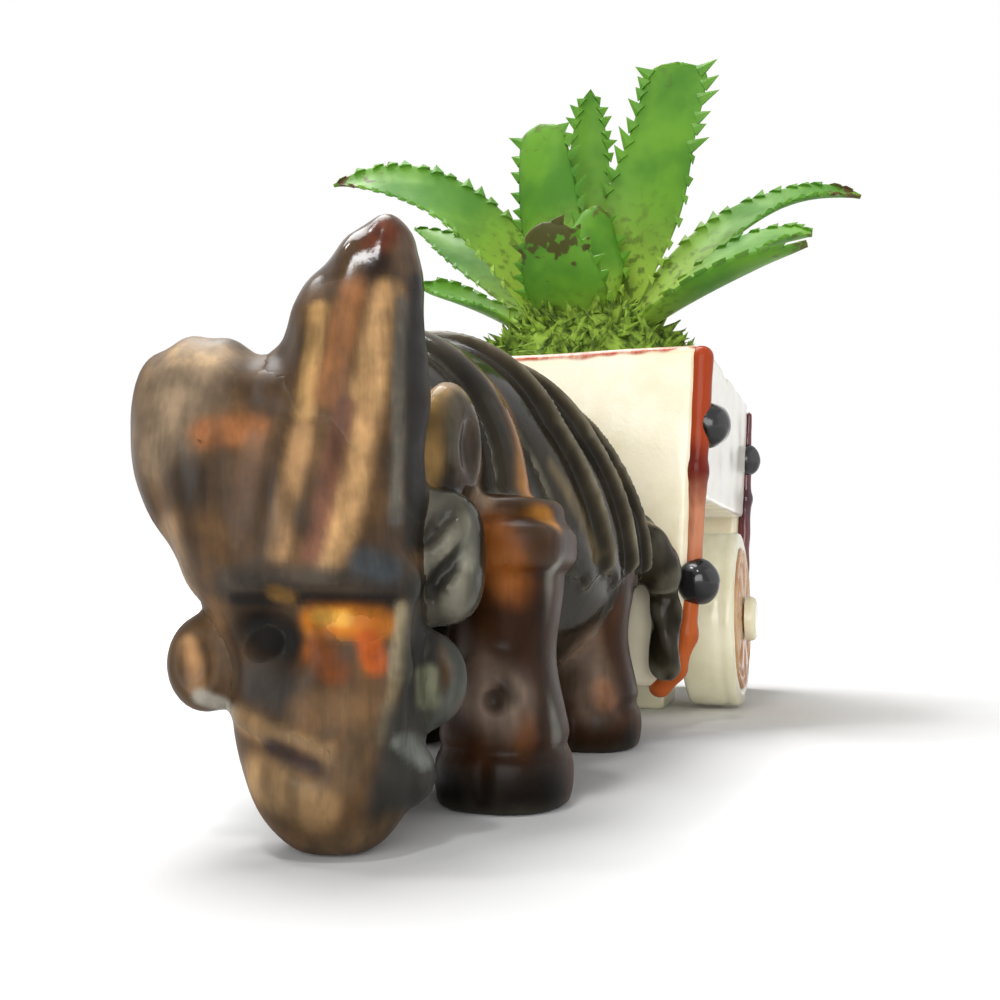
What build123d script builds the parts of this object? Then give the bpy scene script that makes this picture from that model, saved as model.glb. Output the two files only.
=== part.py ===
from build123d import *
import os
from math import cos, radians, sin, sqrt

os.makedirs("parts", exist_ok=True)

# Lengths are in millimetres. The ox faces -Y, the cart stands behind it, +Z is up,
# and the origin lies on the ground under the middle of the whole piece.

# Cart box
cart_front = 14.0
cart_depth = 88.0
rim_height = 73.0
rim_half_width = 32.6
shoulder_height = 44.0
shoulder_half_width = 30.9
bed_half_width = 21.0
cart_bottom = 8.0
tub_wall = 4.5
tub_floor = 5.0
rim_round = 1.3
cut_overrun = 2.0

# End boards and the round posts along their edges
post_radius = 2.3
post_top_half = 31.7
post_waist_half = 29.3
post_waist_height = 27.0
post_foot_half = 23.0
post_foot_height = 7.6
stud_radius = 4.5
upper_stud_height = 59.0
lower_stud_height = 31.5

# Running gear
wheel_radius = 19.3
wheel_lift = 0.2
wheel_setback = 38.0
wheel_thickness = 12.0
wheel_edge_round = 1.8
tread_groove_width = 1.4
tread_groove_depth = 0.7
tread_groove_inset = 2.6
peg_radius = 2.75
peg_running_clearance = 0.08
peg_socket_depth = 3.0
thrust_gap = 0.3
collar_radius = 5.2
collar_thickness = 2.3
cap_radius = 4.8
cap_height = 2.3
cap_socket_depth = 1.3
cap_round = 1.2
rosette_radius = 15.2
rosette_thickness = 1.8
rosette_petal_count = 8
rosette_petal_depth = 0.9
rosette_hub_clearance = 0.4
seat_clearance = 0.15
block_half_width = 19.0
block_half_depth = 8.0
block_round = 1.5

# Ox body
body_half_width = 23.3
body_half_height = 25.4
body_centre_height = 37.8
body_wall = 5.0
vent_radius = 4.0
band_thickness = 3.0
band_tuck = 1.2
collar_band_thickness = 2.4
hem_height = 27.0
collar_hem_height = 22.0

# Ox legs and tail
leg_height = 35.0
leg_half_width = 8.4
leg_half_depth = 9.0
front_leg_side = 16.6
front_leg_setback = 18.0
rear_leg_side = 16.4
rear_leg_reach = 28.0
tail_radius = 2.9
tail_side = 25.4
tail_gap = 5.4
tail_root_height = 45.0
tail_bend_height = 35.0
tail_tip_height = 9.0
tail_root_side = 12.0
tail_bend_radius = 8.0

# Ox head
head_side = 5.0
head_reach = 106.0
neck_seat = 8.0
head_turn = 15.0
head_height = 47.0
head_half_width = 13.8
head_half_depth = 12.2
chin_clearance = 0.3
left_horn_height = 68.0
left_horn_radius = 8.2
right_horn_height = 55.7
right_horn_radius = 8.6
ear_half_height = 5.0
ear_half_thickness = 2.8
ear_reach = 16.4
left_ear_height = 17.4
right_ear_height = 19.8
eye_radius = 3.0
eye_sink = 0.9
left_eye_side = 4.4
left_eye_height = 22.3
right_eye_side = 6.2
right_eye_height = 20.8
noseband_height = 11.0
noseband_width = 2.6
noseband_thickness = 1.1
noseband_tilt = 18.0

# Artificial aloe
plug_clearance = 1.2
plug_drop = 3.0
moss_half_width = 24.0
moss_half_depth = 30.0
moss_rise = 10.0
core_radius = 8.0
core_rise = 20.0
plant_spread = 62.0
plant_rise = 77.4
leaf_half_width = 8.0
leaf_half_thickness = 1.7
leaf_root_sink = 1.0

# Stations along the body: distance from the cart, half width, half height, centre height,
# each as a share of the body's own size.
body_station_shares = [
    (1.00, 0.60, 0.61, 0.99),
    (0.92, 0.67, 0.73, 1.00),
    (0.84, 0.73, 0.83, 1.00),
    (0.765, 0.78, 0.90, 0.99),
    (0.61, 0.90, 0.985, 0.97),
    (0.47, 0.98, 1.00, 0.94),
    (0.33, 1.00, 0.965, 0.90),
    (0.185, 0.97, 0.88, 0.84),
    (0.06, 0.85, 0.77, 0.78),
    (0.00, 0.77, 0.71, 0.755),
]
neck_station_count = 2
band_count = 4

# Heights up a leg, with half width and half depth, as shares of the leg's size.
leg_shares = [
    (0.00, 0.95, 0.95),
    (0.10, 1.00, 1.00),
    (0.24, 0.97, 0.96),
    (0.53, 0.75, 0.78),
    (0.76, 0.86, 0.89),
    (1.00, 0.88, 0.91),
]

# Heights up the head, with the middle's shift to the animal's left, half width,
# the middle's shift forward and half depth, as shares of the head's size.
head_shares = [
    (0.00, 0.20, 0.29, 0.20, 0.33),
    (0.05, 0.19, 0.45, 0.20, 0.54),
    (0.12, 0.15, 0.61, 0.18, 0.70),
    (0.25, 0.05, 0.74, 0.12, 0.82),
    (0.42, 0.00, 0.81, 0.04, 0.92),
    (0.57, -0.12, 0.88, 0.02, 1.00),
    (0.72, -0.23, 0.96, 0.01, 0.98),
    (0.87, -0.33, 1.00, -0.04, 0.88),
    (1.00, -0.39, 0.91, -0.08, 0.70),
]

# Heights up each horn as shares of its tip height, with the middle's shift to the left as a
# share of the head's half width and the radius as a share of the horn's.
left_horn_shares = [
    (0.56, 0.22, 0.97),
    (0.71, 0.22, 1.00),
    (0.81, 0.25, 0.93),
    (0.90, 0.38, 0.71),
    (0.965, 0.48, 0.43),
    (1.00, 0.52, 0.14),
]
right_horn_shares = [
    (0.64, -0.58, 0.93),
    (0.755, -0.83, 1.00),
    (0.845, -0.95, 0.89),
    (0.925, -0.96, 0.69),
    (0.98, -0.93, 0.40),
    (1.00, -0.91, 0.13),
]

# Steps out along an ear as shares of its reach, with its half size as a share of the full one.
ear_shares = [(0.52, 0.75), (0.74, 1.00), (0.92, 0.80), (1.00, 0.30)]

# Ring heights of the moss mound with their size, and the tooth-free blade of a leaf:
# steps along it with its half width and half thickness.
moss_shares = [(0.00, 1.00), (0.45, 0.94), (0.82, 0.68), (1.00, 0.36)]
leaf_blade_shares = [
    (0.00, 0.34, 1.00),
    (0.16, 0.58, 1.00),
    (0.42, 1.00, 0.92),
    (0.70, 0.78, 0.80),
    (0.90, 0.36, 0.60),
    (1.00, 0.07, 0.30),
]

# Each leaf: root azimuth and roll in degrees, then root height, the blade's middle and its tip
# as shares of the plant's spread sideways and its rise above the rim, and its width share.
leaf_shares = {
    "tall_leaf": (70, 12, 0.215, (0.235, 0.02, 0.63), (0.355, 0.00, 0.98), 1.00),
    "slim_leaf": (108, 0, 0.215, (-0.04, 0.16, 0.70), (-0.035, 0.19, 1.00), 0.62),
    "brown_tip_leaf": (222, 0, 0.235, (-0.15, -0.06, 0.57), (-0.175, -0.06, 0.82), 0.86),
    "heart_leaf": (300, 0, 0.225, (0.04, -0.10, 0.38), (0.05, -0.08, 0.54), 0.60),
    "rear_upright_leaf": (148, 0, 0.22, (-0.17, 0.22, 0.49), (-0.24, 0.36, 0.72), 0.72),
    "left_arching_leaf": (188, -48, 0.155, (-0.50, -0.13, 0.575), (-0.985, -0.20, 0.66), 1.00),
    "left_second_leaf": (156, -25, 0.125, (-0.52, 0.17, 0.46), (-0.83, 0.27, 0.62), 0.80),
    "left_low_leaf": (225, -35, 0.115, (-0.36, -0.24, 0.24), (-0.56, -0.34, 0.28), 0.66),
    "right_arching_leaf": (18, 38, 0.16, (0.58, 0.15, 0.53), (0.995, 0.22, 0.57), 0.84),
    "right_second_leaf": (345, 34, 0.145, (0.55, -0.10, 0.355), (0.83, -0.13, 0.385), 0.84),
    "right_low_leaf": (312, 20, 0.11, (0.50, -0.27, 0.25), (0.82, -0.30, 0.32), 0.80),
    "front_leaf": (268, 0, 0.13, (0.00, -0.31, 0.25), (-0.02, -0.47, 0.375), 0.95),
    "rear_left_leaf": (122, 0, 0.135, (-0.28, 0.42, 0.40), (-0.45, 0.62, 0.50), 0.80),
    "rear_right_leaf": (57, 0, 0.145, (0.34, 0.42, 0.42), (0.53, 0.60, 0.54), 0.80),
    "rear_low_leaf": (90, 0, 0.115, (0.03, 0.46, 0.28), (0.04, 0.70, 0.33), 0.78),
}

# How far the right foreleg is set back towards the hind leg in its stride
stride_share = 0.46

# How far the boards stop short of the posts' axes, and how far the petals fill the rosette
board_inset_share = 0.5
petal_reach_share = 0.86
petal_width_share = 0.62

# Values that follow from the sizes above
board_thickness = post_radius * 2
tub_front = cart_front + board_thickness
tub_depth = cart_depth - board_thickness * 2
front_post_y = cart_front + post_radius
rear_post_y = cart_front + cart_depth - post_radius
ledge_height = shoulder_height + tub_floor
axle_height = wheel_radius + wheel_lift
wheel_y = cart_front + wheel_setback
wheel_inner = bed_half_width + collar_thickness + thrust_gap
wheel_outer = wheel_inner + wheel_thickness
cap_base = wheel_outer + thrust_gap
bore_radius = peg_radius + peg_running_clearance
plug_top = rim_height - plug_drop
plant_y = cart_front + cart_depth / 2
head_y = cart_front - head_reach
body_length = head_reach - neck_seat
front_leg_reach = body_length - front_leg_setback
stepped_leg_reach = front_leg_reach - (front_leg_reach - rear_leg_reach) * stride_share
hollow_stations = range(neck_station_count, neck_station_count + band_count + 2)
head_left = Vector(cos(radians(head_turn)), sin(radians(head_turn)), 0)
head_forward = Vector(sin(radians(head_turn)), -cos(radians(head_turn)), 0)
head_origin = Vector(head_side, head_y, 0)
finished = {}


def cross_plane(y):
    """Upright plane across the cart at y, with X to the right and Z up."""
    return Plane(origin=(0, y, 0), x_dir=(1, 0, 0), z_dir=(0, -1, 0))


def axle_plane(side, x):
    """Plane square to the axle at distance x, facing outwards on that side."""
    return Plane(origin=(side * x, wheel_y, axle_height), x_dir=(0, 1, 0), z_dir=(side, 0, 0))


def head_plane(z):
    """Level plane at height z, with x to the animal's left and y to the back of its head."""
    return Plane(origin=head_origin + Vector(0, 0, z), x_dir=head_left, z_dir=(0, 0, 1))


def oval(half_width, half_height, x=0, y=0):
    """Closed oval face, begun at its right-hand end, in the sketch being drawn."""
    with BuildLine() as outline:
        EllipticalCenterArc((x, y), half_width, half_height, 0, arc_size=180)
        EllipticalCenterArc((x, y), half_width, half_height, 180, arc_size=180)
    make_face(outline.edges())


def tub_half_width(z):
    """Outer half width of the cart's flared upper box at height z."""
    flare = (rim_half_width - shoulder_half_width) / (rim_height - shoulder_height)
    return shoulder_half_width + flare * (z - shoulder_height)


def finish(name, part):
    """Label a finished piece and keep it for export."""
    part.label = name
    finished[name] = part


# Cart tub: a flared box over a narrow bed that leaves room for the wheels
with BuildPart() as cart_tub:
    with BuildSketch(cross_plane(tub_front)):
        with BuildLine():
            Polyline(
                (0, cart_bottom),
                (bed_half_width, cart_bottom),
                (bed_half_width, shoulder_height),
                (shoulder_half_width, shoulder_height),
                (rim_half_width, rim_height),
                (0, rim_height),
            )
            mirror(about=Plane.YZ)
        make_face()
    extrude(amount=-tub_depth)
    with BuildSketch(cross_plane(tub_front + tub_wall)):
        with BuildLine():
            Polyline(
                (0, cart_bottom + tub_floor),
                (bed_half_width - tub_wall, cart_bottom + tub_floor),
                (bed_half_width - tub_wall, ledge_height),
                (tub_half_width(ledge_height) - tub_wall, ledge_height),
                (rim_half_width - tub_wall, rim_height),
                (rim_half_width - tub_wall, rim_height + cut_overrun),
                (0, rim_height + cut_overrun),
            )
            mirror(about=Plane.YZ)
        make_face()
    extrude(amount=tub_wall * 2 - tub_depth, mode=Mode.SUBTRACT)
    fillet(cart_tub.edges().group_by(Axis.Z)[-1], rim_round)
    for side in (1, -1):
        with BuildSketch(axle_plane(side, bed_half_width - peg_socket_depth)):
            Circle(peg_radius)
        extrude(amount=peg_socket_depth + cut_overrun, mode=Mode.SUBTRACT)
finish("cart_tub", cart_tub.part)


def corner_post(side, y):
    """Round post along one side edge of an end board, with rounded ends."""
    with BuildPart() as post:
        with BuildLine() as path:
            run = Line(
                (side * post_top_half, y, rim_height - post_radius),
                (side * post_waist_half, y, post_waist_height),
            )
            TangentArc(run @ 1, (side * post_foot_half, y, post_foot_height), tangent=run % 1)
        with BuildSketch(Plane(origin=path.line @ 0, z_dir=path.line % 0)):
            Circle(post_radius)
        sweep(path=path.line)
        with Locations(path.line @ 0, path.line @ 1):
            Sphere(post_radius)
    return post.part


posts = {
    "front_left_post": corner_post(1, front_post_y),
    "front_right_post": corner_post(-1, front_post_y),
    "rear_left_post": corner_post(1, rear_post_y),
    "rear_right_post": corner_post(-1, rear_post_y),
}
for name, part in posts.items():
    finish(name, part)


def end_board(y):
    """Board across one end of the tub, hollowed along its sides for the posts."""
    inset = post_radius * board_inset_share
    top = (post_top_half - inset, rim_height)
    waist = (post_waist_half - inset, post_waist_height)
    foot = (post_foot_half - inset, post_foot_height)
    with BuildPart() as board:
        with BuildSketch(cross_plane(y)):
            with BuildLine():
                Line((0, rim_height), top)
                run = Line(top, waist)
                TangentArc(waist, foot, tangent=run % 1)
                Line(foot, (0, post_foot_height))
                mirror(about=Plane.YZ)
            make_face()
        extrude(amount=-board_thickness)
        fillet(board.edges().group_by(Axis.Z)[-1], rim_round)
        for post in posts.values():
            add(post, mode=Mode.SUBTRACT)
    return board.part


front_board = end_board(cart_front)
rear_board = end_board(cart_front + cart_depth - board_thickness)
finish("front_board", front_board)
finish("rear_board", rear_board)


def stud_places(height):
    """Centres of the four studs at one height, on the axes of the corner posts."""
    slope = (post_top_half - post_waist_half) / (rim_height - post_radius - post_waist_height)
    x = post_waist_half + slope * (height - post_waist_height)
    return [(side * x, y, height) for side in (1, -1) for y in (front_post_y, rear_post_y)]


def stud(place):
    """Clay bead pressed round a post, cut to the board and tub beside it."""
    with BuildPart() as bead:
        with Locations(place):
            Sphere(stud_radius)
        for neighbour in (*posts.values(), front_board, rear_board, cart_tub.part):
            add(neighbour, mode=Mode.SUBTRACT)
    return bead.solids().sort_by(SortBy.VOLUME)[-1]


# Edge studs: two beads on every corner post
with BuildPart() as edge_studs:
    add([stud(place) for place in stud_places(upper_stud_height) + stud_places(lower_stud_height)])
finish("edge_studs", edge_studs.part)

# Support block: carries the cart on the ground between the wheels
with BuildPart() as support_block:
    with BuildSketch(Plane.XY):
        with Locations((0, wheel_y)):
            Rectangle(block_half_width * 2, block_half_depth * 2)
    extrude(amount=cart_bottom)
    fillet(support_block.edges().filter_by(Axis.Z), block_round)
finish("support_block", support_block.part)


def axle_peg(side):
    """Peg luted into the tub's bed, with a shoulder that the wheel runs against."""
    with BuildPart() as peg:
        with BuildSketch(axle_plane(side, bed_half_width - peg_socket_depth)):
            Circle(peg_radius)
        extrude(amount=peg_socket_depth + cap_base + cap_socket_depth - bed_half_width)
        with BuildSketch(axle_plane(side, bed_half_width)):
            Circle(collar_radius)
        extrude(amount=collar_thickness)
    return peg.part


def wheel(side):
    """Solid cart wheel with a grooved tread and a seat for its rosette."""
    with BuildPart() as disc:
        with BuildSketch(axle_plane(side, wheel_inner)):
            Circle(wheel_radius)
        extrude(amount=wheel_thickness)
        fillet(disc.edges().filter_by(GeomType.CIRCLE), wheel_edge_round)
        with BuildSketch(axle_plane(side, wheel_outer - tread_groove_inset - tread_groove_width)):
            Circle(wheel_radius + cut_overrun)
            Circle(wheel_radius - tread_groove_depth, mode=Mode.SUBTRACT)
        extrude(amount=tread_groove_width, mode=Mode.SUBTRACT)
        with BuildSketch(axle_plane(side, wheel_outer - rosette_thickness)):
            Circle(rosette_radius + seat_clearance)
        extrude(amount=rosette_thickness + cut_overrun, mode=Mode.SUBTRACT)
        with BuildSketch(axle_plane(side, wheel_inner - cut_overrun)):
            Circle(bore_radius)
        extrude(amount=wheel_thickness + cut_overrun * 2, mode=Mode.SUBTRACT)
    return disc.part


def rosette(side):
    """Carved disc on the wheel's outer face: hollow petals round a plain hub."""
    hub_radius = cap_radius + rosette_hub_clearance
    petal_length = (rosette_radius - hub_radius) / 2
    petal_middle = hub_radius + petal_length
    with BuildPart() as disc:
        with BuildSketch(axle_plane(side, wheel_outer - rosette_thickness)):
            Circle(rosette_radius)
            Circle(bore_radius, mode=Mode.SUBTRACT)
        extrude(amount=rosette_thickness)
        with BuildSketch(axle_plane(side, wheel_outer - rosette_petal_depth)):
            with PolarLocations(petal_middle, rosette_petal_count):
                Ellipse(petal_length * petal_reach_share, petal_length * petal_width_share)
        extrude(amount=rosette_petal_depth + cut_overrun, mode=Mode.SUBTRACT)
    return disc.part


def hub_cap(side):
    """Domed cap pressed on the end of the peg."""
    with BuildPart() as cap:
        with BuildSketch(axle_plane(side, cap_base)):
            Circle(cap_radius)
        extrude(amount=cap_height)
        outer_edge = cap.faces().sort_by(Axis.X)[-1 if side > 0 else 0].edges()
        fillet(outer_edge, cap_round)
        with BuildSketch(axle_plane(side, cap_base)):
            Circle(peg_radius)
        extrude(amount=cap_socket_depth, mode=Mode.SUBTRACT)
    return cap.part


for side_name, side in (("left", 1), ("right", -1)):
    finish(f"{side_name}_axle_peg", axle_peg(side))
    finish(f"{side_name}_wheel", wheel(side))
    finish(f"{side_name}_wheel_rosette", rosette(side))
    finish(f"{side_name}_hub_cap", hub_cap(side))


def body_section(station, growth):
    """Oval across the body at one station, grown outwards by the given amount."""
    reach_share, width_share, height_share, centre_share = body_station_shares[station]
    with BuildSketch(cross_plane(cart_front - body_length * reach_share)) as section:
        oval(
            body_half_width * width_share + growth,
            body_half_height * height_share + growth,
            y=body_centre_height * centre_share,
        )
    return section.sketch


# Outer form of the body, which the pieces luted onto it are cut to fit
with BuildPart() as body_form:
    loft([body_section(station, 0) for station in range(len(body_station_shares))])

# The hollow inside the body, one wall in from its outer form
with BuildPart() as body_hollow:
    loft([body_section(station, -body_wall) for station in hollow_stations])

# Body shell: the hollow barrel of the ox, vented through the belly
with BuildPart() as body_shell:
    add(body_form.part)
    add(body_hollow.part, mode=Mode.SUBTRACT)
    with BuildSketch(Plane.XY):
        with Locations((0, cart_front - body_length / 2)):
            Circle(vent_radius)
    extrude(amount=body_centre_height, mode=Mode.SUBTRACT)
finish("body_shell", body_shell.part)


def leg(side, distance, reach):
    """One leg: a waisted column with a flat sole, cut to the belly above."""
    with BuildPart() as column:
        for height_share, width_share, depth_share in leg_shares:
            with BuildSketch(Plane.XY.offset(leg_height * height_share)):
                oval(
                    leg_half_width * width_share,
                    leg_half_depth * depth_share,
                    x=side * distance,
                    y=cart_front - reach,
                )
        loft()
        add(body_form.part, mode=Mode.SUBTRACT)
    return column.part


legs = {
    "front_left_leg": leg(1, front_leg_side, front_leg_reach),
    "front_right_leg": leg(-1, front_leg_side, stepped_leg_reach),
    "rear_left_leg": leg(1, rear_leg_side, rear_leg_reach),
    "rear_right_leg": leg(-1, rear_leg_side, rear_leg_reach),
}
for name, part in legs.items():
    finish(name, part)


def back_band(station, front_growth, rear_growth, hem):
    """Raised arch over the back from one station to the next, open below its hem."""
    with BuildPart() as band:
        loft([body_section(station, front_growth), body_section(station + 1, rear_growth)])
        split(bisect_by=Plane.XY.offset(hem), keep=Keep.TOP)
        add(body_form.part, mode=Mode.SUBTRACT)
        for part in legs.values():
            add(part, mode=Mode.SUBTRACT)
    return band.part


finish(
    "neck_collar",
    back_band(neck_station_count, collar_band_thickness, collar_band_thickness, collar_hem_height),
)
for number in range(1, band_count + 1):
    band = back_band(neck_station_count + number, band_tuck, band_thickness, hem_height)
    finish(f"back_band_{number}", band)

# Tail: swung round the left flank and hanging beside the cart's front board
with BuildPart() as tail:
    with BuildLine() as tail_path:
        FilletPolyline(
            (tail_root_side, cart_front - tail_gap, tail_root_height),
            (tail_side, cart_front - tail_gap, tail_bend_height),
            (tail_side, cart_front - tail_gap, tail_tip_height),
            radius=tail_bend_radius,
        )
    with BuildSketch(Plane(origin=tail_path.line @ 0, z_dir=tail_path.line % 0)):
        Circle(tail_radius)
    sweep(path=tail_path.line)
    with Locations(tail_path.line @ 1):
        Sphere(tail_radius)
    add(body_form.part, mode=Mode.SUBTRACT)
finish("tail", tail.part)


def head_form(growth):
    """Solid of the head through its level ovals, grown outwards by the given amount."""
    with BuildPart() as form:
        for height_share, side_share, width_share, forward_share, depth_share in head_shares:
            rise = (head_height - chin_clearance) * height_share
            with BuildSketch(head_plane(chin_clearance + rise)):
                oval(
                    head_half_width * width_share + growth,
                    head_half_depth * depth_share + growth,
                    x=head_half_width * side_share,
                    y=-head_half_depth * forward_share,
                )
        loft()
    return form.part


# Head: lowered, with its chin near the ground, and cut to the neck behind
with BuildPart() as head:
    add(head_form(0))
    add(body_form.part, mode=Mode.SUBTRACT)
finish("head", head.part)


def horn(shares, tip_height, radius, neighbours):
    """Thick horn rising from the head, cut to the pieces that it joins."""
    with BuildPart() as cone:
        for height_share, side_share, radius_share in shares:
            with BuildSketch(head_plane(tip_height * height_share)):
                with Locations((head_half_width * side_share, 0)):
                    Circle(radius * radius_share)
        loft()
        for part in neighbours:
            add(part, mode=Mode.SUBTRACT)
    return cone.part


right_horn = horn(right_horn_shares, right_horn_height, right_horn_radius, [head.part, body_form.part])
finish("right_horn", right_horn)
left_horn = horn(
    left_horn_shares, left_horn_height, left_horn_radius, [head.part, body_form.part, right_horn]
)
finish("left_horn", left_horn)


def ear(side, height):
    """Short flat ear standing out from one side of the head."""
    with BuildPart() as flap:
        for reach_share, size_share in ear_shares:
            origin = head_origin + head_left * (side * ear_reach * reach_share) + Vector(0, 0, height)
            with BuildSketch(Plane(origin=origin, x_dir=head_forward * -side, z_dir=head_left * side)):
                oval(ear_half_thickness * size_share, ear_half_height * size_share)
        loft()
        add(head.part, mode=Mode.SUBTRACT)
    return flap.part


def eye(side_shift, height):
    """Round eye bedded in the front of the face."""
    across = side_shift / head_half_width
    face = head_half_depth * sqrt(1 - across * across)
    place = head_origin + head_left * side_shift + head_forward * (face - eye_sink) + Vector(0, 0, height)
    with BuildPart() as ball:
        with Locations(place):
            Sphere(eye_radius)
        add(head.part, mode=Mode.SUBTRACT)
    return ball.part


left_ear = ear(1, left_ear_height)
right_ear = ear(-1, right_ear_height)
finish("left_ear", left_ear)
finish("right_ear", right_ear)
finish("left_eye", eye(left_eye_side, left_eye_height))
finish("right_eye", eye(-right_eye_side, right_eye_height))

# Noseband: a tilted strap round the muzzle
with BuildPart() as noseband:
    add(head_form(noseband_thickness))
    strap_plane = head_plane(noseband_height).rotated((0, noseband_tilt, 0))
    split(bisect_by=strap_plane.offset(noseband_width / 2), keep=Keep.BOTTOM)
    split(bisect_by=strap_plane.offset(-noseband_width / 2), keep=Keep.TOP)
    for neighbour in (head.part, body_form.part, left_ear, right_ear):
        add(neighbour, mode=Mode.SUBTRACT)
finish("noseband", noseband.part)

# Foam plug: a tapered block that drops into the tub and rests on its ledge
with BuildPart() as foam_plug:
    with BuildSketch(cross_plane(tub_front + tub_wall + plug_clearance)):
        with BuildLine():
            Polyline(
                (0, ledge_height),
                (tub_half_width(ledge_height) - tub_wall - plug_clearance, ledge_height),
                (tub_half_width(plug_top) - tub_wall - plug_clearance, plug_top),
                (0, plug_top),
            )
            mirror(about=Plane.YZ)
        make_face()
    extrude(amount=(tub_wall + plug_clearance) * 2 - tub_depth)
finish("foam_plug", foam_plug.part)

# Core: the short stem that the leaves are pushed into
with BuildPart() as plant_core:
    with BuildSketch(Plane.XY.offset(plug_top)):
        with Locations((0, plant_y)):
            Circle(core_radius)
    extrude(amount=plug_drop + core_rise)
finish("plant_core", plant_core.part)

# Moss mat: a low mound over the foam, round the core
with BuildPart() as moss_mat:
    for height_share, size_share in moss_shares:
        with BuildSketch(Plane.XY.offset(plug_top + moss_rise * height_share)):
            oval(moss_half_width * size_share, moss_half_depth * size_share, y=plant_y)
    loft()
    add(plant_core.part, mode=Mode.SUBTRACT)
finish("moss_mat", moss_mat.part)


def plant_point(shares):
    """Point of the plant from its shares of spread and rise."""
    x_share, y_share, z_share = shares
    return Vector(x_share * plant_spread, plant_y + y_share * plant_spread, rim_height + z_share * plant_rise)


def leaf(azimuth, roll, root_share, middle_shares, tip_shares, width_share):
    """One blade, bent from its root through its middle to its tip and rolled about its line."""
    outward = Vector(cos(radians(azimuth)), sin(radians(azimuth)), 0)
    across = Vector(-sin(radians(azimuth)), cos(radians(azimuth)), 0)
    root = Vector(0, plant_y, rim_height + root_share * plant_rise)
    root += outward * (core_radius - leaf_root_sink)
    middle = plant_point(middle_shares)
    tip = plant_point(tip_shares)
    bend = middle * 2 - (root + tip) * 0.5
    with BuildPart() as blade:
        for step, blade_width_share, blade_thickness_share in leaf_blade_shares:
            rest = 1 - step
            place = root * (rest * rest) + bend * (rest * step * 2) + tip * (step * step)
            along = ((bend - root) * rest + (tip - bend) * step).normalized()
            flat = (across - along * across.dot(along)).normalized()
            flat = flat * cos(radians(roll)) + along.cross(flat) * sin(radians(roll))
            with BuildSketch(Plane(origin=place, x_dir=flat, z_dir=along)):
                oval(
                    leaf_half_width * width_share * blade_width_share,
                    leaf_half_thickness * blade_thickness_share,
                )
        loft()
        add(plant_core.part, mode=Mode.SUBTRACT)
    return blade.part


for name, values in leaf_shares.items():
    finish(name, leaf(*values))

for name, part in finished.items():
    export_step(part, f"parts/{name}.step")
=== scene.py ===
"""Looks of the ox-cart planter: a glazed clay ox, a painted cart and a soft plastic aloe."""

import logging
import math
from dataclasses import dataclass, field
from enum import Enum
from typing import Callable, Optional

import bpy
import numpy as np
from mathutils import Euler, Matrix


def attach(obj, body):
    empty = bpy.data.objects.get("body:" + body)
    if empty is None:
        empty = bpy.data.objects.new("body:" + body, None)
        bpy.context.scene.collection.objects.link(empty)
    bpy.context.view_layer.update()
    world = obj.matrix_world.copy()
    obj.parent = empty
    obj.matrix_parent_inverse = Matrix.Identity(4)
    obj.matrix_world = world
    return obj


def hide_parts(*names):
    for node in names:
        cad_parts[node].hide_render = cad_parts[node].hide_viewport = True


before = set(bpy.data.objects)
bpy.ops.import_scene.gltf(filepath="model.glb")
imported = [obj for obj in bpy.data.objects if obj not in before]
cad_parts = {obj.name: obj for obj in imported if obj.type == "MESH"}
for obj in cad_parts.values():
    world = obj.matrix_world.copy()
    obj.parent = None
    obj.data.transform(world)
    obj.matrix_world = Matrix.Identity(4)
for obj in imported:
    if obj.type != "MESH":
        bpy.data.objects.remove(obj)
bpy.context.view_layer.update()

MM = 0.001
Array = np.ndarray
Triple = tuple[float, float, float]
Shape = Callable[[Array, Array, Array], Array]
log = logging.getLogger("ox_cart_planter")


class Body(Enum):
    """The bodies that pieces ride on."""

    CART_AND_OX = "cart_and_ox"
    LEFT_WHEEL = "left_wheel"
    RIGHT_WHEEL = "right_wheel"
    PLANT = "plant"


class Coat(Enum):
    """Which ground coat of glaze a clay piece of the ox was dipped in."""

    BODY = "body"
    FACE = "face"
    LEG = "leg"


def tint(code: str) -> Triple:
    """Linear colour of a six-digit display colour.

    Args:
        code: the colour as "#rrggbb".

    Returns:
        Red, green and blue as the shaders use them.
    """
    parts = [int(code[i : i + 2], 16) / 255 for i in (1, 3, 5)]
    return tuple(c / 12.92 if c <= 0.04045 else ((c + 0.055) / 1.055) ** 2.4 for c in parts)


# Forms of soft clay, as distances in millimetres: below nought is inside


def flow(at: Array, knots: Array, values: Array) -> Array:
    """Smooth curve through a few values.

    Args:
        at: where to read the curve.
        knots: rising places of the values.
        values: the values there.

    Returns:
        The curve at each place, held level past both ends.
    """
    knots, values = np.asarray(knots, float), np.asarray(values, float)
    slopes = np.gradient(values, knots)
    i = np.clip(np.searchsorted(knots, at) - 1, 0, len(knots) - 2)
    step = knots[i + 1] - knots[i]
    t = np.clip((at - knots[i]) / step, 0, 1)
    rise = values[i + 1] - values[i]
    ease = t * t * (3 - 2 * t)
    lead = t * (1 - t) * (1 - t) * slopes[i] * step
    trail = t * t * (1 - t) * slopes[i + 1] * step
    return values[i] + rise * ease + lead - trail


def soft_join(a: Array, b: Array, reach: float) -> Array:
    """Union of two forms with a fillet of the given reach between them."""
    h = np.clip(0.5 + 0.5 * (b - a) / reach, 0, 1)
    return b + (a - b) * h - reach * h * (1 - h)


def soft_cut(a: Array, b: Array, reach: float) -> Array:
    """What two forms share, with a rounded edge of the given reach."""
    return -soft_join(-a, -b, reach)


def oval_distance(across: Array, up: Array, half_across: Array, half_up: Array, power: float = 2.0) -> Array:
    """Distance to an oval section, measured from its middle outwards."""
    far = np.sqrt(across * across + up * up)
    share = ((np.abs(across) / half_across) ** power + (np.abs(up) / half_up) ** power) ** (1 / power)
    return far - far / np.maximum(share, 1e-6)


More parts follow.
